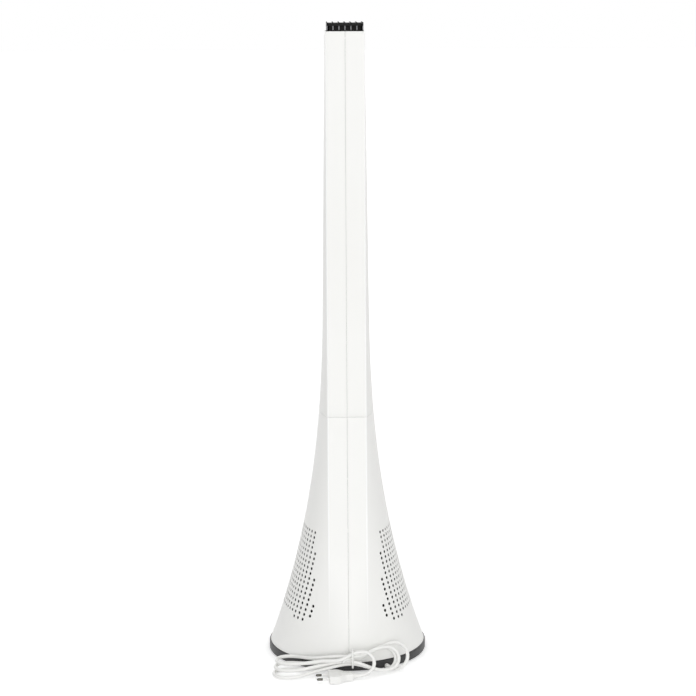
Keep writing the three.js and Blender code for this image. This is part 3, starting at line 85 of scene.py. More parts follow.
camera = in_scene("camera", bpy.data.cameras.new("camera"))
bpy.context.scene.camera = camera
camera.data.sensor_width = SENSOR_WIDTH
camera.data.lens = FOCAL_PIXELS / PHOTO_WIDTH * SENSOR_WIDTH
camera.location = (
    -CAMERA_DISTANCE * math.sin(CAMERA_ROUND), -CAMERA_DISTANCE * math.cos(CAMERA_ROUND), CAMERA_HEIGHT
)
camera.rotation_mode = "QUATERNION"
camera.rotation_quaternion = (
    Matrix.Rotation(-CAMERA_ROUND - AXIS_PIXELS / FOCAL_PIXELS, 4, "Z")
    @ Matrix.Rotation(math.pi / 2 - CAMERA_DOWN, 4, "X") @ Matrix.Rotation(-CAMERA_ROLL, 4, "Z")
).to_quaternion()
camera.data.clip_end = VIEW_END
bpy.context.scene.view_settings.view_transform = "Standard"


def linear(hex_code):
    """An sRGB hex colour as linear red, green, blue and alpha."""
    parts = [int(hex_code[i : i + 2], 16) / 255 for i in (1, 3, 5)]
    return [part / 12.92 if part <= 0.04045 else ((part + 0.055) / 1.055) ** 2.4 for part in parts] + [1.0]


def link(tree, node, links):
    """Links inputs of a node, by name or number, each from an output, or from a node's first one in use."""
    for key, source in links.items():
        if isinstance(source, bpy.types.Node):
            source = next(output for output in source.outputs if output.enabled)
        tree.links.new(source, node.inputs[key])


def add_node(tree, kind, settings, links):
    """A new shader node, with its settings by attribute or by input, and its links."""
    node = tree.nodes.new("ShaderNode" + kind)
    for key, value in settings.items():
        if isinstance(key, str) and hasattr(node, key):
            setattr(node, key, value)
        else:
            node.inputs[key].default_value = value
    link(tree, node, links)
    return node


def new_finish(name, colour, roughness, metallic=0.0, ior=1.5):
    """A material of one plain finish, with its node tree and its shader, ready for a pattern."""
    made = bpy.data.materials.new(name)
    made.use_nodes = True
    shader = made.node_tree.nodes["Principled BSDF"]
    shader.inputs["Base Color"].default_value = linear(colour)
    shader.inputs["Roughness"].default_value = roughness
    shader.inputs["Metallic"].default_value = metallic
    shader.inputs["IOR"].default_value = ior
    return made, made.node_tree, shader


def seen_directly(tree):
    """1 where a surface is looked at, mirrored or looked through, and 0 where it only lights others."""
    path = add_node(tree, "LightPath", {}, {})
    seen = path.outputs["Is Camera Ray"]
    for ray in ("Is Glossy Ray", "Is Transmission Ray"):
        seen = add_node(tree, "Math", {"operation": "MAXIMUM"}, {0: seen, 1: path.outputs[ray]})
    return seen


def deselect_all():
    if bpy.context.mode != "OBJECT":
        bpy.ops.object.mode_set(mode="OBJECT")
    bpy.ops.object.select_all(action="DESELECT")


FLOOR_WIDTH = 60
FLOOR_LIFT = 0.36  # added to the floor where it is seen, and not to the light it gives
SKY_STRENGTH = 0.58
deselect_all()
bpy.ops.mesh.primitive_plane_add(size=FLOOR_WIDTH, location=(0, 0, 0))
floor = bpy.context.object
floor.name = "floor"
floor_paint, tree, shader = new_finish("matt_white_floor", "#f7f7f7", 0.9)
shader.inputs["Emission Color"].default_value = (1, 1, 1, 1)
lift = add_node(tree, "MapRange", {"To Max": FLOOR_LIFT}, {"Value": seen_directly(tree)})
link(tree, shader, {"Emission Strength": lift})
floor.data.materials.append(floor_paint)

world = bpy.data.worlds.new("studio")
bpy.context.scene.world = world
world.use_nodes = True
sky = world.node_tree
strength = add_node(sky, "MapRange", {"To Min": SKY_STRENGTH, "To Max": 1.0}, {"Value": seen_directly(sky)})
link(sky, sky.nodes["Background"], {"Strength": strength})
sky.nodes["Background"].inputs["Color"].default_value = (1, 1, 1, 1)


def add_sun(name, power, softness, azimuth, elevation):
    """A broad soft lamp. Azimuth 0 shines from behind the camera, 90 from the right of the picture."""
    lamp = in_scene(name, bpy.data.lights.new(name, "SUN"))
    lamp.data.energy = power
    lamp.data.angle = math.radians(softness)
    turn, rise = math.radians(azimuth), math.radians(elevation)
    toward = Vector((math.sin(turn) * math.cos(rise), -math.cos(turn) * math.cos(rise), math.sin(rise)))
    lamp.rotation_mode = "QUATERNION"
    lamp.rotation_quaternion = toward.to_track_quat("Z", "Y")


add_sun("overhead_softbox", power=0.35, softness=70, azimuth=0, elevation=78)
add_sun("front_softbox", power=1.17, softness=40, azimuth=5, elevation=10)
add_sun("rear_softbox", power=0.8, softness=60, azimuth=180, elevation=8)

# ------------------------------------------------------------------ mains lead
# Two-core round flex in white PVC, 5.5 mm thick. It leaves the base at the back right, is wound into a loose
# hank of two and a half loops, held by a tie, and ends in the plug. The photo shows all of it.

MM = 0.001
CORD_DIAMETER = 5.5
CORD_EXIT_ANGLE = math.radians(-62.25)
LEAD_TURN = Matrix.Rotation(math.radians(-1.85), 4, "Z")  # the whole lead is set round the base by this
CORD_EXIT_Z = 5.2
GAP = 0.3
STUB = GAP + CORD_DIAMETER  # how far the lead runs straight on from each end that it is joined to
GROMMET_END = 127
CORD_INSIDE = 12  # how far it reaches in behind the exit
HANK_PITCH = 6.75
HANK_LOOPS = 2.6
FAN_MIDDLE = 1.55  # the loop that the others fan out from
HANK_LEFT_END = -114
HANK_RIGHT_END = 86
LOOP_GROWTH = 5
LEFT_SHARE = 0.3  # of the growth, at the left end
RUN_SHARE = 0.34
WAIST_X = 10
WAIST_HALF_STEP = 3.1

# Stations along the hank: x, the undermost loop's y and z, its lean in degrees, half width, fan and skew.
HANK_SPINE = [
    (HANK_LEFT_END, -129, 3.2, 0, 21.5, 12, 0),
    (-86, -130, 3.2, 0, 21.5, 11.5, 0),
    (-50, -139, 9.5, 10, 8.5, 3.4, 0),
    (WAIST_X, -139.5, 20, 40, WAIST_HALF_STEP, 0, 0),
    (34, -133.5, 20, 58, 10.6, -0.8, 0.1),
    (54, -124.5, 20, 66, 17.6, -0.8, 0.2),
    (HANK_RIGHT_END, -110, 20, 66, 17.6, -0.8, 0.2),
]
SPINE_Y, SPINE_Z, SPINE_LEAN, SPINE_HALF, SPINE_FAN, SPINE_SKEW = range(1, 7)


def spine_slope(station, key):
    """The slope of one key at a station: level where the values turn or stand still."""

    def secant(i):
        return (HANK_SPINE[i + 1][key] - HANK_SPINE[i][key]) / (HANK_SPINE[i + 1][0] - HANK_SPINE[i][0])

    if station in (0, len(HANK_SPINE) - 1):
        return secant(min(station, len(HANK_SPINE) - 2))
    before, after = secant(station - 1), secant(station)
    return 2 * before * after / (before + after) if before * after > 0 else 0


def spine_at(x, key):
    """A smooth curve through the stations' values of one key, at x."""
    at = next((i for i in range(1, len(HANK_SPINE)) if HANK_SPINE[i][0] >= x), len(HANK_SPINE) - 1)
    before, after = HANK_SPINE[at - 1], HANK_SPINE[at]
    span = after[0] - before[0]
    t = min(max((x - before[0]) / span, 0), 1)
    return (
        before[key] * (2 * t**3 - 3 * t**2 + 1) + span * spine_slope(at - 1, key) * (t**3 - 2 * t**2 + t)
        + after[key] * (3 * t**2 - 2 * t**3) + span * spine_slope(at, key) * (t**3 - t**2)
    )


def hank_point(loops):
    """Where the wound cord is after a number of loops, each one lying on the last."""
    share = loops % 1
    left_radius, right_radius = spine_at(HANK_LEFT_END, SPINE_HALF), spine_at(HANK_RIGHT_END, SPINE_HALF)
    left = HANK_LEFT_END + left_radius + LEFT_SHARE * LOOP_GROWTH * loops
    right = HANK_RIGHT_END - right_radius - LOOP_GROWTH * (HANK_LOOPS - loops)
    end_share = 0.5 - RUN_SHARE
    if share < RUN_SHARE:
        x = right + (left - right) * share / RUN_SHARE
        place = spine_at(x, SPINE_HALF)
    elif share < 0.5:
        angle = math.pi * (share - RUN_SHARE) / end_share
        x, place = left - left_radius * math.sin(angle), left_radius * math.cos(angle)
    elif share < 0.5 + RUN_SHARE:
        x = left + (right - left) * (share - 0.5) / RUN_SHARE
        place = -spine_at(x, SPINE_HALF)
    else:
        angle = math.pi * (share - 0.5 - RUN_SHARE) / end_share
        x, place = right + right_radius * math.sin(angle), -right_radius * math.cos(angle)
    lean = math.radians(spine_at(x, SPINE_LEAN))
    across = place + (loops - FAN_MIDDLE) * spine_at(x, SPINE_FAN)
    up = (loops - RUN_SHARE) * HANK_PITCH
    return Vector((
        x - spine_at(x, SPINE_SKEW) * place,
        spine_at(x, SPINE_Y) + across * math.cos(lean) - up * math.sin(lean),
        spine_at(x, SPINE_Z) + across * math.sin(lean) + up * math.cos(lean),
    ))


def smooth_line(points, spacing, closed=False):
    """Points about every spacing along a smooth line through the given ones."""
    points = [Vector(p) for p in points]
    if closed:
        ends = [points[-1], *points, points[0], points[1]]
    else:
        ends = [2 * points[0] - points[1], *points, 2 * points[-1] - points[-2]]
    line = []
    for p0, p1, p2, p3 in zip(ends, ends[1:], ends[2:], ends[3:]):
        t1 = (p1 - p0).length ** 0.5
        t2 = t1 + (p2 - p1).length ** 0.5
        t3 = t2 + (p3 - p2).length ** 0.5
        steps = max(2, round((p2 - p1).length / spacing))
        for step in range(steps):
            t = t1 + (t2 - t1) * step / steps
            a1 = p0.lerp(p1, t / t1)
            a2 = p1.lerp(p2, (t - t1) / (t2 - t1))
            a3 = p2.lerp(p3, (t - t2) / (t3 - t2))
            line.append(a1.lerp(a2, t / t2).lerp(a2.lerp(a3, (t - t1) / (t3 - t1)), (t - t1) / (t2 - t1)))
    return line if closed else [*line, points[-1]]


PLUG_LENGTH = 37
PLUG_THICK = 13.6
PLUG_TURN = Matrix.Rotation(math.radians(7), 4, "Z")
PLUG_PLACE = Vector((-8.5, -165, PLUG_THICK / 2 + 0.1))
RELIEF_START = PLUG_LENGTH / 2 + GAP
RELIEF_END = RELIEF_START + 9


def plug_point(x, y=0, z=0):
    """A point of the plug's own frame, in which x runs from the pins to the cord."""
    return PLUG_TURN @ Vector((x, y, z)) + PLUG_PLACE


exit_direction = LEAD_TURN.inverted() @ Vector((math.cos(CORD_EXIT_ANGLE), math.sin(CORD_EXIT_ANGLE), 0))
cord_exit = exit_direction * GROMMET_END + Vector((0, 0, CORD_EXIT_Z))
STEPS_A_LOOP = 90
LINE_SPACING = 4
RING_SPACING = 3.5
EASING_ROUNDS = 6
hank = [hank_point(i / STEPS_A_LOOP) for i in range(round(HANK_LOOPS * STEPS_A_LOOP) + 1)]
way_in = (hank[1] - hank[0]).normalized()
way_out = (hank[-1] - hank[-2]).normalized()
lead = smooth_line(
    [
        cord_exit + exit_direction * GAP, cord_exit + exit_direction * STUB,
        (73.7, -123.3, 3.7), (82.9, -127.8, 5.9), (91.4, -128.8, 12.7), (96.2, -125.6, 23.1),
        (94.2, -118.1, 34.7), (84.4, -110.5, 42), (70.6, -107.6, 42.6),
        hank[0] - way_in * STUB, hank[0] - way_in * GAP,
    ],
    LINE_SPACING,
)
plug_lead = smooth_line(
    [
        hank[-1] + way_out * GAP, hank[-1] + way_out * STUB,
        (-15.2, -153.2, 27.7), (-3.4, -152.5, 30.5), (WAIST_X, -149, 37.5), (28.9, -148.2, 41.6),
        (41, -151.1, 35), (44.4, -155.3, 23.2), (38.1, -159, 12.1),
        plug_point(RELIEF_END + STUB), plug_point(RELIEF_END + GAP),
    ],
    LINE_SPACING,
)
into_base = cord_exit - exit_direction * CORD_INSIDE
cord_path = [into_base, *lead, *hank, *plug_lead, plug_point(RELIEF_START + 1)]


def even_line(points, spacing):
    """The same line with points at even distances, so that a tube along it has rings of one spacing."""
    along = [0.0]
    for a, b in zip(points, points[1:]):
        along.append(along[-1] + (b - a).length)
    count = round(along[-1] / spacing)
    line, at = [], 0
    for i in range(count + 1):
        wanted = along[-1] * i / count
        while at < len(points) - 2 and along[at + 1] < wanted:
            at += 1
        line.append(points[at].lerp(points[at + 1], (wanted - along[at]) / (along[at + 1] - along[at])))
    return line


def eased(points, rounds):
    """The line with its small kinks taken out: each point moves halfway to the middle of its neighbours."""
    for _ in range(rounds):
        middles = [(a + c) / 2 for a, c in zip(points, points[2:])]
        points = [points[0], *[p.lerp(m, 0.5) for p, m in zip(points[1:], middles)], points[-1]]
    return points


cord_line = [LEAD_TURN @ p * MM for p in eased(even_line(cord_path, RING_SPACING), EASING_ROUNDS)]

curve = bpy.data.curves.new("mains_lead", "CURVE")
curve.dimensions = "3D"
spline = curve.splines.new("POLY")
spline.points.add(len(cord_line) - 1)
for point, place in zip(spline.points, cord_line):
    point.co = (*place, 1)
curve.bevel_depth = CORD_DIAMETER / 2 * MM
curve.bevel_resolution = 4
curve.use_fill_caps = True
mains_lead = in_scene("mains_lead", curve)


def grained(name, tones, gloss, grain, relief, metallic=0.0, detail=3.0, harshness=0.5, depth=0.3):
    """A finish whose tone, gloss and relief all follow one noise, with its grain and its relief in mm."""
    made, tree, shader = new_finish(name, tones[0], gloss[0], metallic)
    place = add_node(tree, "TexCoord", {}, {})
    noise = add_node(
        tree, "TexNoise", {"Scale": 1 / (grain * MM), "Detail": detail, "Roughness": harshness},
        {"Vector": place.outputs["Object"]},
    )
    tone = add_node(
        tree, "Mix", {"data_type": "RGBA", "A": linear(tones[0]), "B": linear(tones[1])}, {"Factor": noise}
    )
    sheen = add_node(tree, "MapRange", {"To Min": gloss[0], "To Max": gloss[1]}, {"Value": noise})
    bump = add_node(tree, "Bump", {"Strength": depth, "Distance": relief * MM}, {"Height": noise})
    link(tree, shader, {"Base Color": tone, "Roughness": sheen, "Normal": bump})
    return made


# White PVC, extruded: a soft satin skin with the faint waviness of the two cores under it, drawn 6 mm long.
white_pvc = grained(
    "white_pvc_extruded", ("#f5f5f3", "#efefec"), (0.36, 0.5), grain=6, relief=0.2, detail=2.0, depth=0.25
)
curve.materials.append(white_pvc)

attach(mains_lead, "base")
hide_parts("cord_lead", "cord_hank", "cord_plug_lead")

# ------------------------------------------------------------------ plug
# A flat two-pin plug moulded onto the lead in white PVC: a wide nose round the pins, a narrow grip with
# finger grooves, and a ribbed strain relief. It lies flat on the floor in front of the hank.

PLUG_WIDTH = 35
PIN_SPACING = 18.6
PIN_RADIUS = 2.0
PIN_LENGTH = 19
SLEEVE_LENGTH = 10
SMOOTH_ANGLE = math.radians(35)  # edges flatter than this are shaded smooth


def shifted(x, y, z=0):
    """The frame of a place, in mm."""
    return Matrix.Translation(Vector((x, y, z)) * MM)


PLUG_FRAME = LEAD_TURN @ shifted(*PLUG_PLACE) @ PLUG_TURN


def pick(piece):
    """Makes a piece the active one and the only one selected."""
    deselect_all()
    bpy.context.view_layer.objects.active = piece
    piece.select_set(True)


def edit(selection="SELECT"):
    """Opens the active piece in edit mode with all of its mesh selected, or with DESELECT none of it."""
    bpy.ops.object.mode_set(mode="EDIT")
    bpy.ops.mesh.select_all(action=selection)


def cut_across(axis, places):
    """Cuts the mesh in edit mode by planes across an axis (0, 1 or 2) at these places, in mm."""
    normal = tuple(float(i == axis) for i in range(3))
    for at in places:
        bpy.ops.mesh.select_all(action="SELECT")
        bpy.ops.mesh.bisect(plane_co=tuple(at * MM * n for n in normal), plane_no=normal)


def rounded(piece, width, segments, angle=40):
    """Rounds the sharp edges of a piece by width mm, and shades it smooth, with its flat faces kept flat."""
    bevel = piece.modifiers.new("rounding", "BEVEL")
    bevel.width = width * MM
    bevel.segments = segments
    bevel.limit_method = "ANGLE"
    bevel.angle_limit = math.radians(angle)
    pick(piece)
    bpy.ops.object.modifier_apply(modifier=bevel.name)
    bpy.ops.object.shade_smooth_by_angle(angle=SMOOTH_ANGLE)
    flats = piece.modifiers.new("flat_faces", "WEIGHTED_NORMAL")
    flats.keep_sharp = True
    bpy.ops.object.modifier_apply(modifier=flats.name)


def settle(piece, frame, finish, body, slot, *nodes):
    """Moves the mesh to its place, leaves the object at the origin, and gives it its finish and its body."""
    pick(piece)
    bpy.ops.object.transform_apply(location=True, rotation=True, scale=True)
    piece.data.transform(frame)
    piece.data.materials.clear()
    piece.data.materials.append(finish)
    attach(piece, body)
    if nodes:
        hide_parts(*nodes)


def turned(name, profile, steps):
    """A piece turned about the Z axis from a closed profile of (radius, height) points in mm."""
    deselect_all()
    bpy.ops.mesh.primitive_circle_add(vertices=len(profile), radius=1, location=(0, 0, 0))
    piece = bpy.context.object
    piece.name = piece.data.name = name
    for vertex, (radius, height) in zip(piece.data.vertices, profile):
        vertex.co = (radius * MM, 0, height * MM)
    edit()
    bpy.ops.mesh.spin(steps=steps, angle=2 * math.pi, center=(0, 0, 0), axis=(0, 0, 1))
    bpy.ops.mesh.select_all(action="SELECT")
    bpy.ops.mesh.remove_doubles(threshold=0.00001)
    bpy.ops.mesh.delete_loose(use_verts=True, use_edges=True, use_faces=False)
    bpy.ops.mesh.select_all(action="SELECT")
    bpy.ops.mesh.normals_make_consistent(inside=False)
    bpy.ops.object.mode_set(mode="OBJECT")
    bpy.ops.object.shade_smooth_by_angle(angle=SMOOTH_ANGLE)
    return piece


NARROWING = (-6, 10)  # where along the plug it narrows
GROOVED = (-1, 14.4)  # the stretch with finger grooves in its flat sides
GROOVE_STEP = 4.4
GROOVE_DEPTH = 0.45
FLAT_SIDE = 6  # how far out the flat sides begin


def grip_width(x):
    """The plug is wide round the pins and narrows in an S to the grip."""
    t = min(max((x - NARROWING[0]) / (NARROWING[1] - NARROWING[0]), 0), 1)
    return 1 - 0.5 * t * t * (3 - 2 * t) - 0.03 * max(0, (x - NARROWING[1]) / 8.5)


def side_height(x, y, z):
    """The plug's flat sides are crowned, fall towards the cord, and are grooved under the fingers."""
    crown = 1 - 0.16 * (2 * y / PLUG_WIDTH) ** 2 - 0.1 * max(0, (x - 4) / 14.5)
    groove = 0
    if GROOVED[0] < x < GROOVED[1] and abs(z) > FLAT_SIDE:
        groove = GROOVE_DEPTH * math.sin((x + 1) * 2 * math.pi / GROOVE_STEP) ** 2
    return math.copysign(abs(z) * crown - groove, z) if z else 0


deselect_all()
bpy.ops.mesh.primitive_cube_add(size=MM, location=(0, 0, 0), scale=(PLUG_LENGTH, PLUG_WIDTH, PLUG_THICK))
plug_body = bpy.context.object
plug_body.name = plug_body.data.name = "moulded_plug"
bpy.ops.object.transform_apply(location=True, rotation=True, scale=True)
bpy.ops.object.mode_set(mode="EDIT")
cut_across(0, [-17.5, -14, -10, -6, *[-4 + 0.8 * i for i in range(26)], 17.6])
cut_across(1, [-16, -12, -8, -4, 0, 4, 8, 12, 16])
cut_across(2, [-3.4, 0, 3.4])
bpy.ops.object.mode_set(mode="OBJECT")
for vertex in plug_body.data.vertices:
    x, y, z = vertex.co / MM
    vertex.co = Vector((x, y * grip_width(x), side_height(x, y, z))) * MM
rounded(plug_body, width=1.6, segments=3, angle=55)
settle(plug_body, PLUG_FRAME, white_pvc, "base", "cord_pvc", "plug_body")

# The relief is a row of soft collars that thin towards the cord.
collars = [
    (RELIEF_START - 1, 0), (RELIEF_START - 1, 4.5), (RELIEF_START + 1.2, 4.5), (RELIEF_START + 1.6, 3.7),
]
for i in range(3):
    at, collar = RELIEF_START + 2.2 + 2.2 * i, 4.3 - 0.3 * i
    collars += [(at, collar - 0.6), (at + 0.3, collar), (at + 1.3, collar), (at + 1.6, collar - 0.6)]
collars += [(RELIEF_END, 3.1), (RELIEF_END, 0)]
plug_relief = turned("plug_relief", [(r, x) for x, r in collars], 40)
settle(
    plug_relief, PLUG_FRAME @ Matrix.Rotation(math.pi / 2, 4, "Y"), white_pvc, "base", "cord_pvc",
    "plug_strain_relief",
)

# Nickel-plated brass pins, turned, with a fine grain round them, and white sleeves over their first half.
plated_brass, tree, shader = new_finish("brass_nickel_plated", "#5c5a56", 0.3, metallic=1.0)
place = add_node(tree, "TexCoord", {}, {})
grain = add_node(
    tree, "TexNoise", {"Scale": 1 / (0.8 * MM), "Detail": 3.0}, {"Vector": place.outputs["Object"]}
)
sheen = add_node(tree, "MapRange", {"To Min": 0.22, "To Max": 0.4}, {"Value": grain})
link(tree, shader, {"Roughness": sheen})

plug_pieces = [plug_body, plug_relief]
for number, side in ((1, 1), (2, -1)):
    frame_of_pin = (
        PLUG_FRAME @ shifted(-PLUG_LENGTH / 2 - GAP, side * PIN_SPACING / 2)
        @ Matrix.Rotation(-math.pi / 2, 4, "Y")
    )
    r, tip = PIN_RADIUS, PIN_LENGTH
    pin = turned(
        f"plug_pin_metal_{number}",
        [(0, -1), (r - 0.15, -1), (r - 0.15, SLEEVE_LENGTH + 0.2), (r, SLEEVE_LENGTH + 0.5), (r, tip - 2),
         (r - 0.25, tip - 1.1), (r - 0.8, tip - 0.35), (r - 1.5, tip), (0, tip)],
        32,
    )
    settle(pin, frame_of_pin, plated_brass, "base", "steel", f"plug_pin_{number}")
    sleeve = turned(
        f"plug_pin_sleeve_{number}",
        [(1.2, -0.5), (r, -0.5), (r, SLEEVE_LENGTH - 0.3), (r - 0.2, SLEEVE_LENGTH), (1.2, SLEEVE_LENGTH)],
        32,
    )
    settle(sleeve, frame_of_pin, white_pvc, "base", "cord_pvc", f"plug_pin_{number}")
    plug_pieces += [pin, sleeve]

# ------------------------------------------------------------------ tie
# A length of white plastic-coated wire, bent once round the strands at the hank's waist, its two ends twisted
# together and laid over.

TIE_DIAMETER = 3
TIE_OUTLINE = [
    (-136.2, 15.4), (-144.5, 13.7), (-150.6, 17.5), (-153.6, 24), (-154.3, 31), (-154.3, 38), (-151.2, 42.9),
    (-146.2, 42.6), (-141.2, 37.8), (-137, 32.3), (-132.2, 27.4), (-130.6, 21), (-132, 16.6),
]


def tube(name, points, radii, sides, closed=False):
    """A round mesh tube along points in metres, with a radius in mm at each."""
    line = bpy.data.curves.new(name, "CURVE")
    line.dimensions = "3D"
    run = line.splines.new("POLY")
    run.points.add(len(points) - 1)
    for point, at, radius in zip(run.points, points, radii):
        point.co, point.radius = (*at, 1), radius
    run.use_cyclic_u = closed
    line.bevel_depth = MM
    line.bevel_resolution = sides // 4 - 1
    line.use_fill_caps = not closed
    piece = in_scene(name, line)
    pick(piece)
    bpy.ops.object.convert(target="MESH")
    edit()
    bpy.ops.mesh.remove_doubles(threshold=0.000001)
    bpy.ops.mesh.normals_make_consistent(inside=False)
    bpy.ops.object.mode_set(mode="OBJECT")
    bpy.ops.object.shade_smooth_by_angle(angle=math.radians(50))
    return bpy.context.object


tie_line = [p * MM for p in smooth_line([(WAIST_X, y, z) for y, z in TIE_OUTLINE], 1.5, closed=True)]
tie = tube("wire_tie", tie_line, [TIE_DIAMETER / 2] * len(tie_line), 12, closed=True)
settle(tie, LEAD_TURN, white_pvc, "base", "cord_pvc", "hank_tie")
TWIST_STEPS = 40
TWIST_TURNS = 2.5
for number, turn in ((1, 0), (2, math.pi)):
    twist = []
    for i in range(TWIST_STEPS + 1):
        t = i / TWIST_STEPS
        angle = turn + TWIST_TURNS * 2 * math.pi * t
        spread = 1.0 + 1.2 * max(0, t - 0.8) * 5
        middle = Vector((WAIST_X - 2 - 13 * t, -155.6 + 1.6 * t, 31 + 3 * t - 9 * t * t))
        twist.append((middle + Vector((0, math.cos(angle), math.sin(angle))) * spread) * MM)
    end = tube(f"wire_tie_end_{number}", twist, [1.0] * len(twist), 12)
    settle(end, LEAD_TURN, white_pvc, "base", "cord_pvc")

# ------------------------------------------------------------------ base ring
# The base is a tray moulded in dark grey ABS. Its rim shows as a ring under the white body, and its outside
# has a fine spark-eroded grain. The mains lead leaves through a notch in the rim.

RIM_RADIUS = 126
RIM_INSIDE = 122.5
RIM_TOP = 14
RIM_BOTTOM = 1.5
NOTCH_WIDTH = 8.7
NOTCH_TOP = 9.15
NOTCH_DEEP = 20

# Dark grey ABS, spark-eroded: a dull, even grey that breaks up the light in grains drawn 0.9 mm wide.
dark_abs = grained(
    "abs_dark_grey_grained", ("#262627", "#313132"), (0.38, 0.55), grain=0.9, relief=0.1, harshness=0.6
)
base_ring = turned(
    "base_tray",
    [
        (14.5, 10), (RIM_INSIDE, 10), (RIM_INSIDE, 2.1), (122.9, RIM_BOTTOM), (125.2, RIM_BOTTOM),
        (125.76, 1.74), (RIM_RADIUS, 2.3), (RIM_RADIUS, 12.8), (125.66, 13.62), (124.8, RIM_TOP),
        (123.1, RIM_TOP), (122.68, 13.82), (RIM_INSIDE, 13.4), (RIM_INSIDE, 12.5), (19, 12.5), (19, 22.4),
        (18.4, 23), (15, 23), (14.5, 22.5),
    ],
    180,
)


def cut_out(piece, cutter):
    """Takes the cutter's shape out of the piece, and removes the cutter."""
    boolean = piece.modifiers.new("opening", "BOOLEAN")
    boolean.operation = "DIFFERENCE"
    boolean.solver = "EXACT"
    boolean.object = cutter
    pick(piece)
    bpy.ops.object.modifier_apply(modifier=boolean.name)
    bpy.data.objects.remove(cutter)


def cutting_block(size, corner, frame):
    """A block of a size in mm whose upright edges are rounded, to cut with."""
    deselect_all()
    bpy.ops.mesh.primitive_cube_add(size=MM, location=(0, 0, 0), scale=size)
    block = bpy.context.object
    bpy.ops.object.transform_apply(location=True, rotation=True, scale=True)
    bpy.ops.object.mode_set(mode="EDIT")
    shape = bmesh.from_edit_mesh(block.data)
    for edge in shape.edges:
        a, b = (v.co for v in edge.verts)
        edge.select = abs(a.z - b.z) > 0.5 * size[2] * MM
    bmesh.update_edit_mesh(block.data)
    bpy.ops.mesh.bevel(offset=corner * MM, segments=6)
    bpy.ops.object.mode_set(mode="OBJECT")
    block.data.transform(frame)
    return block


notch_frame = (
    Matrix.Rotation(CORD_EXIT_ANGLE, 4, "Z") @ shifted(RIM_RADIUS, 0, NOTCH_TOP - NOTCH_DEEP / 2)
    @ Matrix.Rotation(math.pi / 2, 4, "Y")
)
cut_out(base_ring, cutting_block((NOTCH_DEEP, NOTCH_WIDTH, 14), 1.5, notch_frame))
bpy.ops.object.shade_smooth_by_angle(angle=SMOOTH_ANGLE)
settle(base_ring, Matrix(), dark_abs, "base", "grey_abs", "base_ring")

# A tapered relief in white PVC, ribbed round, takes the bend of the lead where it leaves the rim.
RELIEF_RINGS = 49
RELIEF_SPACING = 0.5
RELIEF_RADIUS = 3.95
RELIEF_TAPER = 0.9
RELIEF_GROOVE = 0.35
relief_path = [p * MM for p in [cord_exit - exit_direction * 9, *lead]]
relief_line = even_line(relief_path, RELIEF_SPACING * MM)[:RELIEF_RINGS]
relief_radii = []
for i in range(RELIEF_RINGS):
    groove = RELIEF_GROOVE if i % 8 in (5, 6) else 0
    relief_radii.append(RELIEF_RADIUS - RELIEF_TAPER * i / (RELIEF_RINGS - 1) - groove)
exit_relief = tube("exit_relief", relief_line, relief_radii, 24)
settle(exit_relief, LEAD_TURN, white_pvc, "base", "cord_pvc")

# ------------------------------------------------------------------ underside
# A cover of black ABS closes the tray from below, over a steel ballast plate. Three cross-head screws near
# the middle hold it, and four turned rubber feet are pressed in near the rim.

FOOT_PROFILE = [
    (0, 0.5), (2.6, 0.5), (3, 0), (8, 0), (8.7, 0.3), (9, 0.9), (9, 1.5), (4, 1.5), (4, 4.2), (3.8, 4.4),
    (0, 4.4),
]
FOOT_PLACES = [(104, 45 + 90 * i) for i in range(4)]
SCREW_PROFILE = [
    (0, 2), (1.9, 2), (2.8, 2.35), (3.2, 2.9), (3.2, 3.6), (3, 3.8), (1.4, 3.8), (1.4, 8.4), (0.5, 9.2),
    (0, 9.2),
]
SCREW_PLACES = [(28, 30 + 120 * i) for i in range(3)]


def dressed(finish, *nodes):
    """Gives CAD pieces whose shape is right a finish."""
    for name in nodes:
        mesh = frame["nodes"][name].data
        mesh.materials.clear()
        mesh.materials.append(finish)


def on_circle(radius, degrees):
    """The frame of a place on a circle about the fan's axis, its radius in mm."""
    turn = math.radians(degrees)
    return shifted(radius * math.cos(turn), radius * math.sin(turn))


def copies(piece, frames):
    """The piece and further copies of it, each with its own mesh, one to each frame."""
    pieces = [piece]
    for number in range(2, len(frames) + 1):
        copy = in_scene(piece.name.replace("_1", f"_{number}"), piece.data.copy())
        copy.data.name = copy.name
        pieces.append(copy)
    return list(zip(pieces, frames))


# Moulded rubber: dull, with a fine blush. Zinc on steel: bright, with soft blotches. Black ABS, as moulded.
soft_rubber = grained("rubber_moulded", ("#1f1f1f", "#2a2a2a"), (0.7, 0.9), 1.5, 0.05)
zinc_steel = grained("steel_zinc_plated", ("#9aa0a6", "#b4b9bd"), (0.28, 0.45), 5, 0.02, metallic=1.0)
satin_black_abs = grained("abs_black_satin", ("#161617", "#1d1d1e"), (0.35, 0.5), 1.2, 0.03)

foot = turned("rubber_foot_1", FOOT_PROFILE, 48)
for number, (piece, frame_of_foot) in enumerate(copies(foot, [on_circle(*p) for p in FOOT_PLACES]), 1):
    settle(piece, frame_of_foot, soft_rubber, "base", "rubber", f"foot_{number}")
screw = turned("case_screw_1", SCREW_PROFILE, 32)
for slot_size in ((3.6, 0.75, 2.6), (0.75, 3.6, 2.6)):
    cut_out(screw, cutting_block(slot_size, 0.05, shifted(0, 0, SCREW_PROFILE[0][1])))
bpy.ops.object.shade_smooth_by_angle(angle=SMOOTH_ANGLE)
for number, (piece, frame_of_screw) in enumerate(copies(screw, [on_circle(*p) for p in SCREW_PLACES]), 1):
    settle(piece, frame_of_screw, zinc_steel, "base", "steel", f"cover_screw_{number}")
dressed(satin_black_abs, "bottom_cover", "cord_grommet")
dressed(zinc_steel, "ballast_plate")
dressed(white_pvc, "inner_mains_lead")

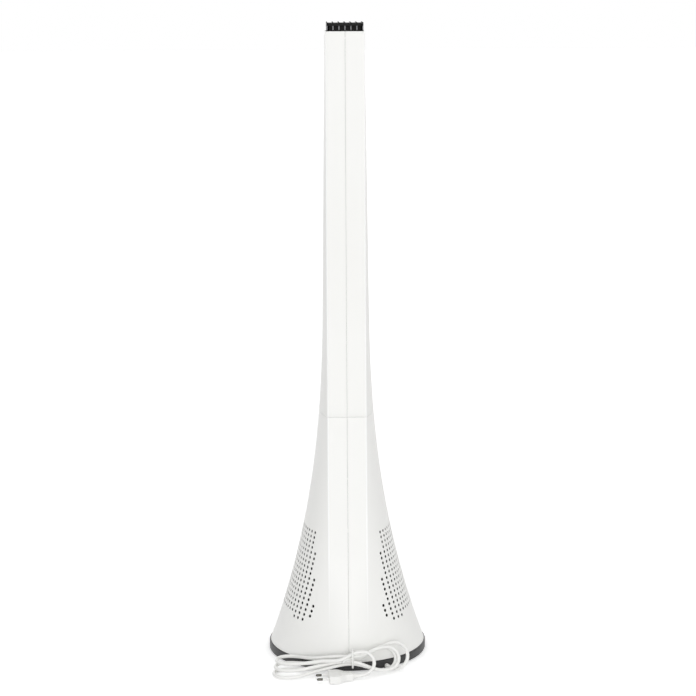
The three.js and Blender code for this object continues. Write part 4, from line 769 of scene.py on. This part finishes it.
# ------------------------------------------------------------------ swivel
# The tower stands on a turntable that runs on an acetal glide ring. A small synchronous motor turns it by a
# pinion on a toothed sector, and a washer with three screws holds it down on the spindle.

# Natural acetal: ivory and waxy. Deep-drawn steel can: a soft sheen. Dark grey ABS, as on the base.
acetal = grained("acetal_natural", ("#ebe8dc", "#f2f0e6"), (0.3, 0.42), 3, 0.02)
drawn_steel = grained("steel_drawn", ("#b0b4b8", "#c3c6c9"), (0.22, 0.38), 2, 0.02, metallic=1.0)
dressed(acetal, "glide_ring", "sector_gear", "drive_pinion")
dressed(drawn_steel, "pivot_washer", "swing_motor")
dressed(zinc_steel, "pivot_screw_1", "pivot_screw_2", "pivot_screw_3")
dressed(dark_abs, "turntable")


TRACK_STEP = 9


def board_finish(name, top, cell, lies=Matrix()):
    """A circuit board: green up to its top, and above it parts in black, cream and metal, a cell wide."""
    made, tree, shader = new_finish(name, "#1c5233", 0.35)
    object_place = add_node(tree, "TexCoord", {}, {})
    place = add_node(tree, "Mapping", {}, {"Vector": object_place.outputs["Object"]})
    place.inputs["Location"].default_value = lies.inverted().to_translation()
    place.inputs["Rotation"].default_value = lies.inverted().to_euler()
    at = {"Vector": place.outputs["Vector"]}
    apart = add_node(tree, "SeparateXYZ", {}, at)
    raised = add_node(tree, "Math", {"operation": "GREATER_THAN", 1: top * MM}, {"Value": apart.outputs["Z"]})
    cells = add_node(tree, "TexVoronoi", {"Scale": 1 / (cell * MM), "Randomness": 0.6}, at)
    hue = add_node(tree, "SeparateColor", {}, {"Color": cells.outputs["Color"]})
    kinds = add_node(tree, "ValToRGB", {}, {"Fac": hue})
    kinds.color_ramp.interpolation = "CONSTANT"
    kinds.color_ramp.elements[0].color = linear("#1a1a1b")
    kinds.color_ramp.elements[1].position = 0.55
    kinds.color_ramp.elements[1].color = linear("#d8d2bd")
    kinds.color_ramp.elements.new(0.8).color = linear("#8f9397")
    tracks = add_node(tree, "TexWave", {"Scale": 1 / (TRACK_STEP * MM), "Distortion": 6.0, "Detail": 1.0}, at)
    mask = add_node(
        tree, "Mix", {"data_type": "RGBA", "A": linear("#174a2c"), "B": linear("#2a6f47")},
        {"Factor": tracks.outputs["Fac"]},
    )
    both = add_node(tree, "Mix", {"data_type": "RGBA"}, {"Factor": raised, "A": mask, "B": kinds})
    link(tree, shader, {"Base Color": both})
    return made


# The boards: green solder mask over copper tracks, with plastic and metal parts standing on it.
dressed(board_finish("power_board_mask", top=33.7, cell=11), "power_board")

# ------------------------------------------------------------------ lower shells
# The flare of the body is two shells of white ABS, joined back and front. Each flank has a field of small
# round inlet holes, in rows 8 mm apart.

TOP_HALF_WIDTH = 31
TOP_HALF_DEPTH = 46
# How much each half grows a millimetre down, and by how much, from what height and how fast it flares.
WIDTH_GROWTH = (0.0128, 85.826, 560, 2.4)
DEPTH_GROWTH = (0.005, 72.985, 640, 1.6)
BODY_TOP = 987
SHELL_BOTTOM = 14.8
WAIST = 394
SEAM = 0.1  # half the gap between two shells
WALL = 1.5
FIELD_WALL = 0.9  # the lower shells are thin where the holes are
CREASE = 30
CREASE_REACH = 1.1  # how far the rounding of a crease reaches to each side
STRIP_END = 180  # below this height the flat strip at the back turns round
ROUND_END = 60
STRIP_STEPS = 6
HOLE_RADIUS = 2.6
HOLE_MARGIN = 0.3  # how far past its radius a hole still takes in points
AT_MIDDLE = 0.4
ROW_STEP = 8.01
TOP_ROW = 208.8
ROWS = 18
LINE_STEP = 4.38  # half the distance between two columns of holes
LINES = 31
KEPT_LINES = 22
KEPT_FULL = 101  # above this height the kept lines take up less and less of the flank
KEPT_TAPER = 0.22
HOLE_LINES = 21


def grown(top_half, growth, z):
    """A half width or half depth of the body at a height, from its value at the top and its growth."""
    taper, flare, flare_top, power = growth
    return top_half + taper * (BODY_TOP - z) + flare * max(0, 1 - z / flare_top) ** power


def body_section(z):
    """Half width, the flank's own half depth, half depth at the crease, its angle, the back's roundness."""
    wide, deep = grown(TOP_HALF_WIDTH, WIDTH_GROWTH, z), grown(TOP_HALF_DEPTH, DEPTH_GROWTH, z)
    angle = math.acos(CREASE / wide)
    t = min(max((STRIP_END - z) / (STRIP_END - ROUND_END), 0), 1)
    return wide, deep / math.sin(angle), deep, angle, t * t * (3 - 2 * t)


def on_flank(z, angle):
    """The point of the flank's ellipse at a height and an angle."""
    wide, bulge, _, _, _ = body_section(z)
    return Vector((wide * math.cos(angle), bulge * math.sin(angle)))


def strip_and_crease(z, last):
    """Points from the seam to the crease's far side, where the flank starts at the angle last."""
    wide, bulge, depth, _, roundness = body_section(z)
    points = []
    for i in range(STRIP_STEPS + 1):
        x = SEAM + (CREASE - CREASE_REACH - SEAM) * i / STRIP_STEPS
        points.append(Vector((x, depth + (bulge * math.sqrt(1 - (x / wide) ** 2) - depth) * roundness)))
    start, corner, end = points[-1], Vector((CREASE, depth)), on_flank(z, last)
    for t in (0.25, 0.5, 0.75):
        points.append(start.lerp(corner, t).lerp(corner.lerp(end, t), t))
    return points


def crease_start(z):
    """The angle on the flank at which the rounding of the crease begins."""
    wide, bulge, _, angle, _ = body_section(z)
    return angle - CREASE_REACH / math.hypot(wide * math.sin(angle), bulge * math.cos(angle))


def lower_outline(z):
    """Half the body's outline at a height, from the back seam to the front one. Its lines keep their places
    from row to row where the holes are, and are spread evenly from there to the creases."""
    _, bulge, _, _, _ = body_section(z)
    last = crease_start(z)
    kept = KEPT_LINES * LINE_STEP - KEPT_TAPER * max(0, z - KEPT_FULL)
    flank = []
    for line in range(-LINES, LINES + 1):
        y = abs(line) * LINE_STEP
        angle = math.asin(min(y, kept) / bulge)
        if y > kept:
            angle += (last - angle) * (y - kept) / (LINES * LINE_STEP - kept)
        flank.append(on_flank(z, math.copysign(angle, line)))
    side = strip_and_crease(z, last)
    return [*[Vector((p.x, -p.y)) for p in side], *flank, *reversed(side)]


def shell_sheet(name, heights, outline, side):
    """One side of the body as a sheet: a grid whose columns follow the outline, with a row to each height."""
    rows = [outline(z) for z in heights]
    deselect_all()
    bpy.ops.mesh.primitive_grid_add(x_subdivisions=len(rows[0]) - 1, y_subdivisions=len(rows) - 1, size=1)
    sheet = bpy.context.object
    sheet.name = sheet.data.name = name
    for i, vertex in enumerate(sheet.data.vertices):
        row, column = divmod(i, len(rows[0]))
        x, y = rows[row][column]
        vertex.co = Vector((side * x, y, heights[row])) * MM
    if side < 0:
        edit()
        bpy.ops.mesh.flip_normals()
        bpy.ops.object.mode_set(mode="OBJECT")
    return sheet


SHARP = math.radians(60)
RIM_ROUNDING = 0.3
AT_RIM = 0.1  # how near to a rim a point belongs to it
AT_SEAM = 0.05


def thickened(sheet, thickness, on_rim):
    """Gives a sheet its wall, inwards, and rounds the edges of the seam and of its other rims, where on_rim
    tells if a point is on one of those."""
    wall = sheet.modifiers.new("wall", "SOLIDIFY")
    wall.thickness = thickness * MM
    wall.offset = -1
    bpy.ops.object.modifier_apply(modifier=wall.name)
    edit("DESELECT")
    shape = bmesh.from_edit_mesh(sheet.data)
    for edge in shape.edges:
        if len(edge.link_faces) == 2 and edge.calc_face_angle() > SHARP:
            ends = [v.co / MM for v in edge.verts]
            edge.select = all(on_rim(end) or abs(end.x) < SEAM + AT_SEAM for end in ends)
    bmesh.update_edit_mesh(sheet.data)
    bpy.ops.mesh.bevel(offset=RIM_ROUNDING * MM, segments=2)
    bpy.ops.object.mode_set(mode="OBJECT")


def hole_rows(column):
    """First and last row with a hole in it, by the column's number from the middle of the flank, 1 to 11."""
    return {11: (15, 17), 10: (10, 18), 9: (5, 18), 8: (1, 18)}.get(column, (1, 17))


DRIFT = 120  # the size of the drift in tone and gloss
GRAIN = 1.2
PAINTED_HIGHLIGHT_REACH = (1.0, 0.7)  # from a crease to where the painted highlight begins, and to where it is full
PAINTED_HIGHLIGHT_DEPTH = (TOP_HALF_DEPTH - 1.4, TOP_HALF_DEPTH - 0.8)

# White ABS, moulded and spark-eroded to a fine satin: a faint drift in tone and in gloss, and a grain of
# 0.4 mm, drawn 1.2 mm wide so that it shows.
white_abs, tree, shader = new_finish("abs_white_satin", "#f3f3f0", 0.42)
place = add_node(tree, "TexCoord", {}, {})
at = {"Vector": place.outputs["Object"]}
drift = add_node(tree, "TexNoise", {"Scale": 1 / (DRIFT * MM), "Detail": 2.0}, at)
grain = add_node(tree, "TexNoise", {"Scale": 1 / (GRAIN * MM), "Detail": 2.0}, at)
tone = add_node(
    tree, "Mix", {"data_type": "RGBA", "A": linear("#f4f4f2"), "B": linear("#f1f1ee")}, {"Factor": drift}
)
sheen = add_node(tree, "MapRange", {"To Min": 0.38, "To Max": 0.48}, {"Value": drift})
bump = add_node(tree, "Bump", {"Strength": 0.12, "Distance": 0.04 * MM}, {"Height": grain})

# The creases carry a painted highlight: a paler line, 1.6 mm wide, on the back and front of the body only,
# that fades out where the section turns round at the foot.
apart = add_node(tree, "SeparateXYZ", {}, at)
across = add_node(tree, "Math", {"operation": "ABSOLUTE"}, {"Value": apart.outputs["X"]})
off = add_node(tree, "Math", {"operation": "SUBTRACT", 1: CREASE * MM}, {"Value": across})
away = add_node(tree, "Math", {"operation": "ABSOLUTE"}, {"Value": off})
deep = add_node(tree, "Math", {"operation": "ABSOLUTE"}, {"Value": apart.outputs["Y"]})
painted_crease_highlight = None
for ends, measure in (
    (PAINTED_HIGHLIGHT_REACH, away), ((ROUND_END, STRIP_END), apart.outputs["Z"]), (PAINTED_HIGHLIGHT_DEPTH, deep),
):
    share = add_node(
        tree, "MapRange", {"From Min": ends[0] * MM, "From Max": ends[1] * MM}, {"Value": measure}
    )
    if painted_crease_highlight is None:
        painted_crease_highlight = share
    else:
        painted_crease_highlight = add_node(tree, "Math", {"operation": "MULTIPLY"}, {0: painted_crease_highlight, 1: share})
# Painted highlight: the tone is paled towards white along the creases.
highlighted_tone = add_node(tree, "Mix", {"data_type": "RGBA", "B": linear("#ffffff")}, {"Factor": painted_crease_highlight, "A": tone})
link(tree, shader, {"Base Color": highlighted_tone, "Roughness": sheen, "Normal": bump})

HEIGHTS_ABOVE = 22
field_bottom = TOP_ROW - (ROWS - 0.5) * ROW_STEP
lower_heights = [
    SHELL_BOTTOM, 20, 27, 34, 41, 48, 55, 62,
    *[field_bottom + ROW_STEP * i / 2 for i in range(2 * ROWS + 1)],
    *[
        TOP_ROW + ROW_STEP / 2 + (WAIST - SEAM - TOP_ROW - ROW_STEP / 2) * i / HEIGHTS_ABOVE
        for i in range(1, HEIGHTS_ABOVE + 1)
    ],
]
PANEL_MIDDLE = (0, 74.94, 317)
PANEL_TILT = math.radians(7.178)
PANEL_FRAME = (
    shifted(*PANEL_MIDDLE) @ Matrix.Rotation(math.pi, 4, "Z")
    @ Matrix.Rotation(math.pi / 2 - PANEL_TILT, 4, "X")
)

OPENING_SIZE = (44.6, 112.6, 20)
OPENING_CORNER = 6.3
OPENING_BACK = -5


def hole_centres(per_row):
    """The numbers of the sheet's vertices that a hole is centred on."""
    centres = []
    for row in range(1, ROWS + 1):
        level = lower_heights.index(field_bottom) + 2 * (ROWS - row) + 1
        for line in range(-HOLE_LINES, HOLE_LINES + 1, 2):
            first, last = hole_rows((abs(line) + 1) // 2)
            if first <= row <= last:
                centres.append(level * per_row + STRIP_STEPS + 4 + LINES + line)
    return centres


def perforated(sheet, centres):
    """Opens a round hole of eight sides about each of these vertices of a sheet."""
    middles = [sheet.data.vertices[i].co.copy() for i in centres]
    edit("DESELECT")
    bpy.ops.mesh.select_mode(type="VERT")
    shape = bmesh.from_edit_mesh(sheet.data)
    shape.verts.ensure_lookup_table()
    for i in centres:
        shape.verts[i].select = True
    bmesh.update_edit_mesh(sheet.data)
    bpy.ops.mesh.bevel(affect="VERTICES", offset=HOLE_RADIUS * MM, segments=2)
    shape = bmesh.from_edit_mesh(sheet.data)
    finder = kdtree.KDTree(len(middles))
    for i, middle in enumerate(middles):
        finder.insert(middle, i)
    finder.balance()
    inside = set()
    for vertex in shape.verts:
        middle, _, distance = finder.find(vertex.co)
        if distance < (HOLE_RADIUS + HOLE_MARGIN) * MM:
            inside.add(vertex)
            if distance > AT_MIDDLE * MM:
                vertex.co = middle + (vertex.co - middle).normalized() * HOLE_RADIUS * MM
    for face in shape.faces:
        face.select = all(v in inside for v in face.verts)
    bmesh.update_edit_mesh(sheet.data)
    bpy.ops.mesh.delete(type="FACE")
    bpy.ops.object.mode_set(mode="OBJECT")


for side, word in ((-1, "left"), (1, "right")):
    shell = shell_sheet(f"lower_body_{word}", lower_heights, lower_outline, side)
    perforated(shell, hole_centres(len(lower_outline(WAIST))))
    thickened(shell, FIELD_WALL, lambda p: p.z < SHELL_BOTTOM + AT_RIM or p.z > WAIST - SEAM - AT_RIM)
    opening_frame = PANEL_FRAME @ shifted(0, 0, OPENING_BACK)
    cut_out(shell, cutting_block(OPENING_SIZE, OPENING_CORNER, opening_frame))
    bpy.ops.object.shade_smooth_by_angle(angle=SMOOTH_ANGLE)
    settle(shell, Matrix(), white_abs, "tower", "white_abs", f"lower_shell_{word}")

# ------------------------------------------------------------------ column shells
# Two tall shells of the same white ABS stand on the lower ones. Their back has a flat strip between two
# creases, and their front is open for the outlet grille.

FRONT_LIP = 5
FLANK_STEPS = 26
COLUMN_STEPS = 64


def column_outline(z):
    """Half the column's outline, from the back seam round the flank to the open front."""
    _, bulge, depth, _, _ = body_section(z)
    first, last = -crease_start(z), math.asin((depth - FRONT_LIP) / bulge)
    back = [Vector((p.x, -p.y)) for p in strip_and_crease(z, -first)]
    return back + [on_flank(z, first + (last - first) * i / FLANK_STEPS) for i in range(FLANK_STEPS + 1)]


column_bottom = WAIST + SEAM
column_heights = [
    column_bottom + (BODY_TOP - WAIST - SEAM) * i / COLUMN_STEPS for i in range(COLUMN_STEPS + 1)
]
for side, word in ((-1, "left"), (1, "right")):
    shell = shell_sheet(f"column_body_{word}", column_heights, column_outline, side)
    thickened(shell, WALL, lambda p: p.z < WAIST + SEAM + AT_RIM or p.z > BODY_TOP - AT_RIM or p.y > 0)
    bpy.ops.object.shade_smooth_by_angle(angle=SMOOTH_ANGLE)
    settle(shell, Matrix(), white_abs, "tower", "white_abs", f"column_shell_{word}")

# ------------------------------------------------------------------ dust filters
# Behind each field of holes stands a sheet of black reticulated foam, 2 mm thick, that keeps dust out.

PORE = 1

# Open foam: its pores are 1 mm, dark between grey struts, and deep.
filter_foam, tree, shader = new_finish("foam_reticulated", "#141415", 0.95)
place = add_node(tree, "TexCoord", {}, {})
pores = add_node(tree, "TexVoronoi", {"Scale": 1 / (PORE * MM)}, {"Vector": place.outputs["Object"]})
tone = add_node(tree, "MapRange", {"From Max": 0.7}, {"Value": pores})
mix = add_node(
    tree, "Mix", {"data_type": "RGBA", "A": linear("#0d0d0e"), "B": linear("#1e1e20")}, {"Factor": tone}
)
bump = add_node(tree, "Bump", {"Strength": 0.8, "Distance": 0.5 * MM}, {"Height": pores})
link(tree, shader, {"Base Color": mix, "Normal": bump})
dressed(filter_foam, "inlet_filter_left", "inlet_filter_right")

# ------------------------------------------------------------------ fan and air path
# A mixed-flow impeller on a small motor blows up through a diffuser. The casing hangs in a soft ring on the
# partition, and a thin liner leads the air up the column to the guide vanes behind the outlet.

# Unpainted polypropylene, as moulded: milky, with a slight flow in its tone.
natural_polypropylene = grained("polypropylene_natural", ("#dadad2", "#e4e4dd"), (0.4, 0.55), 8, 0.03)
grey_polypropylene = grained("polypropylene_grey", ("#39393b", "#434345"), (0.4, 0.55), 8, 0.03)
dressed(natural_polypropylene, "partition", "fan_casing", "diffuser", "impeller")
dressed(grey_polypropylene, "duct_liner")
dressed(soft_rubber, "isolating_ring")
dressed(drawn_steel, "fan_motor")
dressed(satin_black_abs, "guide_vanes", "motor_harness", "panel_harness")

# ------------------------------------------------------------------ outlet grille and top cap
# Black ABS from a polished mould, its edges rounded by 0.3 mm. The grille's seven bars end under the ribs of
# the cap, which closes the column with a lip and carries the ribs down its back.

EDGE_ROUNDING = 0.3


def refined(node, name, width, segments=2):
    """A copy of a CAD piece, merged, with its flat faces made whole and its edges rounded, as a new piece."""
    mesh = frame["nodes"][node].data.copy()
    mesh.name = name
    piece = in_scene(name, mesh)
    pick(piece)
    edit()
    bpy.ops.mesh.remove_doubles(threshold=0.02 * MM)
    bpy.ops.mesh.dissolve_limited(angle_limit=math.radians(1))
    bpy.ops.object.mode_set(mode="OBJECT")
    rounded(piece, width, segments)
    return piece


# Polished black ABS: deep, with a soft orange peel 6 mm wide and dust dulling the gloss here and there.
gloss_black_abs = grained("abs_black_gloss", ("#0b0b0c", "#111112"), (0.16, 0.3), 6, 0.01)
grille = refined("outlet_grille", "grille_bars", EDGE_ROUNDING)
settle(grille, Matrix(), gloss_black_abs, "tower", "black_abs", "outlet_grille")

# The cap's black is deeper, and the outer faces of its ribs below the lip carry painted light: a patchy grey
# where they catch the light.
RIB_FACE = 47.95  # how far out the rib faces with painted light are
LIP_UNDERSIDE = 995
cap_black, tree, shader = new_finish("abs_black_rubbed_ribs", "#060606", 0.35)
shader.inputs["Specular IOR Level"].default_value = 0.12
place = add_node(tree, "TexCoord", {}, {})
at = {"Vector": place.outputs["Object"]}
apart = add_node(tree, "SeparateXYZ", {}, at)
outward = add_node(tree, "Math", {"operation": "ABSOLUTE"}, {"Value": apart.outputs["Y"]})
patch_noise = add_node(tree, "TexNoise", {"Scale": 1 / (1.5 * MM), "Detail": 3.0}, at)
painted_rib_light = add_node(
    tree, "MapRange", {"From Min": (RIB_FACE - 0.15) * MM, "From Max": RIB_FACE * MM}, {"Value": outward}
)
below = add_node(
    tree, "MapRange", {"From Min": (LIP_UNDERSIDE + 0.5) * MM, "From Max": (LIP_UNDERSIDE - 0.5) * MM},
    {"Value": apart.outputs["Z"]},
)
patchy = add_node(tree, "MapRange", {"From Min": 0.2, "From Max": 0.6, "To Min": 0.6}, {"Value": patch_noise})
painted_light_amount = painted_rib_light
for share in (below, patchy):
    painted_light_amount = add_node(tree, "Math", {"operation": "MULTIPLY"}, {0: painted_light_amount, 1: share})
# Painted light: the rib faces below the lip are mixed towards a light grey.
tone = add_node(
    tree, "Mix", {"data_type": "RGBA", "A": linear("#050505"), "B": linear("#828285")}, {"Factor": painted_light_amount}
)
link(tree, shader, {"Base Color": tone})
cap = refined("top_cap", "ribbed_cap", EDGE_ROUNDING)
settle(cap, Matrix(), cap_black, "tower", "black_abs", "top_cap")

# Its deck is spark-eroded to a dead matt.
cap_deck_black = grained("abs_black_matt", ("#060606", "#0a0a0a"), (0.85, 0.95), 0.8, 0.05)
cap_deck_black.node_tree.nodes["Principled BSDF"].inputs["Specular IOR Level"].default_value = 0.05
cap.data.materials.append(cap_deck_black)
for face in cap.data.polygons:
    if face.normal.z > 0.5 and face.center.z > LIP_UNDERSIDE * MM:
        face.material_index = 1

# ------------------------------------------------------------------ control panel
# A plate of black ABS lies in the front of the lower body, with a smoked acrylic window over the display and
# six round holes for the buttons. Four posts moulded on its back carry the board.

PANEL_SIZE = (44, 112.7)
PANEL_THICK = 6
PANEL_CORNER = 6
WINDOW_SIZE = (34, 18)
WINDOW_UP = 38
BUTTON_RADIUS = 6.2
BUTTON_TOP = 1.4
BUTTON_SKIRT = -3.8
STEM_END = -6.9
BUTTON_PLACES = {
    "power": (-10.5, 12), "swing": (10.5, 12), "speed_up": (-10.5, -10),
    "timer": (10.5, -10), "speed_down": (-10.5, -32), "mode": (10.5, -32),
}
POST_PLACES = [(-16, 22), (16, 22), (-16, -46), (16, -46)]
POST_PROFILE = [(0, -11.7), (2.3, -11.7), (2.6, -11.4), (2.6, -5.6), (0, -5.6)]
WINDOW_PLAY = 0.5
BUTTON_PLAY = 0.25
THROUGH = 10  # how far the cutters of the plate's holes reach to each side

panel = cutting_block((*PANEL_SIZE, PANEL_THICK), PANEL_CORNER, shifted(0, 0, -PANEL_THICK / 2))
panel.name = panel.data.name = "control_plate"
window_hole = (*[side + WINDOW_PLAY for side in WINDOW_SIZE], 2 * THROUGH)
cut_out(panel, cutting_block(window_hole, 2.2, shifted(0, WINDOW_UP)))
hole_radius = BUTTON_RADIUS + BUTTON_PLAY
hole_profile = [(0, -THROUGH), (hole_radius, -THROUGH), (hole_radius, THROUGH), (0, THROUGH)]
for place in BUTTON_PLACES.values():
    hole = turned("hole", hole_profile, 48)
    hole.data.transform(shifted(*place))
    cut_out(panel, hole)
rounded(panel, EDGE_ROUNDING, 2)
parts = [panel]
for place in POST_PLACES:
    post = turned("post", POST_PROFILE, 24)
    post.data.transform(shifted(*place))
    parts.append(post)
deselect_all()
for part in parts:
    part.select_set(True)
bpy.context.view_layer.objects.active = panel
bpy.ops.object.join()
settle(panel, PANEL_FRAME, gloss_black_abs, "tower", "black_abs", "control_panel")

# Smoked acrylic: nearly black and very smooth, with a faint unevenness in the polish.
smoked_acrylic = grained("acrylic_smoked", ("#07070a", "#0b0b0e"), (0.04, 0.1), 20, 0.005)
window = refined("display_window", "window_pane", 0.2)
settle(window, Matrix(), smoked_acrylic, "tower", "smoked", "display_window")
dressed(board_finish("control_board_mask", top=-11.9, cell=9, lies=PANEL_FRAME), "control_board")

# ------------------------------------------------------------------ buttons
# Six round keys of black ABS, each dished a little and free to move in its hole. A light grey mark is printed
# in the dish: on, swing, faster, timer, slower and mode.

MARK_RADIUS = 0.3
ARC_STEP = 15
DISH_FLOOR = 1.0
DISH_RISE = 0.012  # times the square of the distance out

# Screen-printed ink: pale grey and matt, slightly uneven.
printed_ink = grained("ink_pale_grey", ("#c9cbcc", "#d6d8d9"), (0.55, 0.7), 0.6, 0.01)


def arc(radius, start, end, x=0, y=0):
    """Points along an arc about (x, y), its ends in degrees."""
    steps = max(4, round(abs(end - start) / ARC_STEP))
    turns = [math.radians(start + (end - start) * i / steps) for i in range(steps + 1)]
    return [(x + radius * math.cos(t), y + radius * math.sin(t)) for t in turns]


MARKS = {
    "power": [arc(2.2, 125, 415), [(0, 0.7), (0, 3)]],
    "swing": [
        arc(3, 35, 145, 0, -1.6), *[[(3.3 * s, 0.9), (2.5 * s, 0.1), (1.5 * s, 0.7)] for s in (-1, 1)],
    ],
    "speed_up": [[(-2.2, 0), (2.2, 0)], [(0, -2.2), (0, 2.2)]],
    "timer": [arc(2.4, 0, 360), [(0, 1.5), (0, 0), (1.1, 0)]],
    "speed_down": [[(-2.2, 0), (2.2, 0)]],
    "mode": [[(x - 0.35, 0), (x + 0.35, 0)] for x in (-2.2, 0, 2.2)],
}
KEY_PROFILE = [
    (0, 0.95), (2.2, 1.0), (3.8, 1.12), (5, 1.3), (5.5, BUTTON_TOP), (5.85, 1.32), (6.1, 1.08),
    (BUTTON_RADIUS, 0.7), (BUTTON_RADIUS, BUTTON_SKIRT), (1.6, BUTTON_SKIRT), (1.6, STEM_END + 0.2),
    (1.4, STEM_END), (0, STEM_END),
]
key = turned("key_1", KEY_PROFILE, 48)
key_frames = [PANEL_FRAME @ shifted(*place) for place in BUTTON_PLACES.values()]
for (piece, frame_of_key), name in zip(copies(key, key_frames), BUTTON_PLACES):
    body = f"{name}_button"
    piece.name = piece.data.name = f"{name}_key"
    settle(piece, frame_of_key, gloss_black_abs, body, "black_abs", body)
    for number, stroke in enumerate(MARKS[name], 1):
        points = [Vector((x, y, DISH_FLOOR + DISH_RISE * (x * x + y * y))) * MM for x, y in stroke]
        mark = tube(f"{name}_mark_{number}", points, [MARK_RADIUS] * len(points), 8)
        settle(mark, frame_of_key, printed_ink, body, "natural_plastic")
